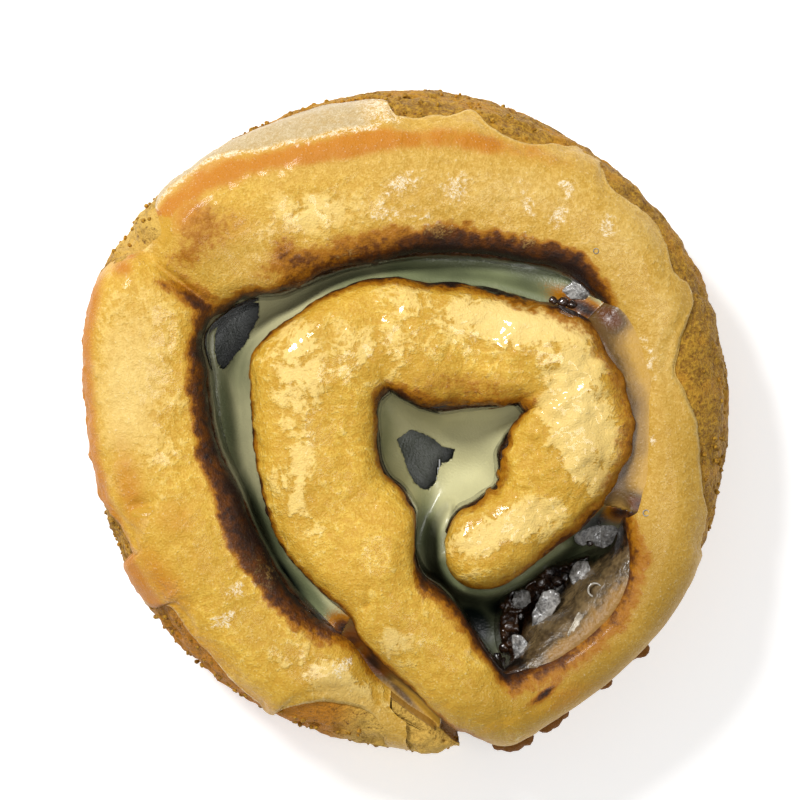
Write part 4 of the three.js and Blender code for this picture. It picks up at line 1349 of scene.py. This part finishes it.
def burnt_bits(finish):
    """Dark crags on the wall, below the icing at the bottom right."""
    parts = [lump(*against_wall(*row), row[3], seed=50 + k) for k, row in enumerate(BURNT)]
    add_parts("burnt_bits", parts, finish, "dough", "stain", even=0.5)


def loose_crumbs(finish, count=320):
    """Small crumbs that stick to the bare side wall and the tail."""
    chance = np.random.default_rng(8)
    parts = []
    for k in range(count):
        a, place, size = chance.uniform(345, 632), chance.uniform(3.4, 4.7), chance.uniform(0.18, 0.42)
        place = max(place, float(np.clip(icing_edge_place(np.array(a)) + 0.08, 3, 4.9)))
        x, y, z = off_dough(np.array(a), np.array(place), np.array(0.15))
        parts.append(lump(x, y, z, size, seed=k, squash=0.9, around=7, down=5))
    add_parts("crumbs", parts, finish, "dough", "stain")


# ---- the stage ----
FLOOR_HALF = 3000
FLOOR_GLOW, SKY = 0.36, 0.42
KEY_LIGHT = ((-0.24, 0.27, 0.48), 0.15, 3.1)  # place and size in metres, and power in watts
FILL_LIGHT = ((0.1, -0.05, 0.9), 0.3, 1.4)
LIGHTS_AIM = (0, 0, 0.015)


def add_camera():
    """A camera straight above, whose picture takes in the floor's span."""
    data = bpy.data.cameras.new("camera")
    data.sensor_width = SENSOR
    data.lens = SENSOR * CAMERA_HEIGHT / FLOOR_SPAN
    data.clip_start, data.clip_end = 0.01, 10
    camera = show("camera", data)
    camera.location = (CAMERA_X / 1000, CAMERA_Y / 1000, CAMERA_HEIGHT / 1000)
    bpy.context.scene.camera = camera


def add_softbox(name, place, size, power):
    """A round soft light that is turned to the middle of the roll."""
    data = bpy.data.lights.new(name, "AREA")
    data.shape, data.size, data.energy = "DISK", size, power
    light = show(name, data)
    light.location = place
    way = [a - b for a, b in zip(LIGHTS_AIM, place)]
    flat = math.hypot(way[0], way[1])
    light.rotation_euler = (math.atan2(flat, -way[2]), 0, math.atan2(way[0], -way[1]) + math.pi)


def add_stage():
    """A plain white floor, an even bright sky and two soft lights."""
    f = Finish("white_floor", Roughness=0.9, Specular_IOR_Level=0.1, Base_Color=linear(250, 250, 250),
               Emission_Color=(1, 1, 1, 1), Emission_Strength=FLOOR_GLOW)
    corners = [(x * FLOOR_HALF, y * FLOOR_HALF, 0) for x, y in ((-1, -1), (1, -1), (1, 1), (-1, 1))]
    mesh = make_mesh("floor", corners, [(0, 1, 2, 3)])
    mesh.materials.append(f.material)
    show("floor", mesh)
    world = bpy.data.worlds.new("studio")
    world.use_nodes = True
    sky = world.node_tree.nodes["Background"].inputs
    sky["Color"].default_value, sky["Strength"].default_value = (1, 1, 1, 1), SKY
    bpy.context.scene.world = world
    bpy.context.scene.view_settings.view_transform = "Standard"
    add_softbox("key", *KEY_LIGHT)
    add_softbox("fill", *FILL_LIGHT)


crumb, syrup = crumb_finish(), filling_finish()
dough_piece(crumb)
icing_piece(iced_finish())
filling_piece(syrup)
glaze_pieces(glaze_finish(), smear_finish())
syrup_in_pit(syrup)
broken_glaze(shard_finish())
dark_lumps(syrup)
burnt_bits(crumb)
loose_crumbs(crumb)
add_camera()
add_stage()
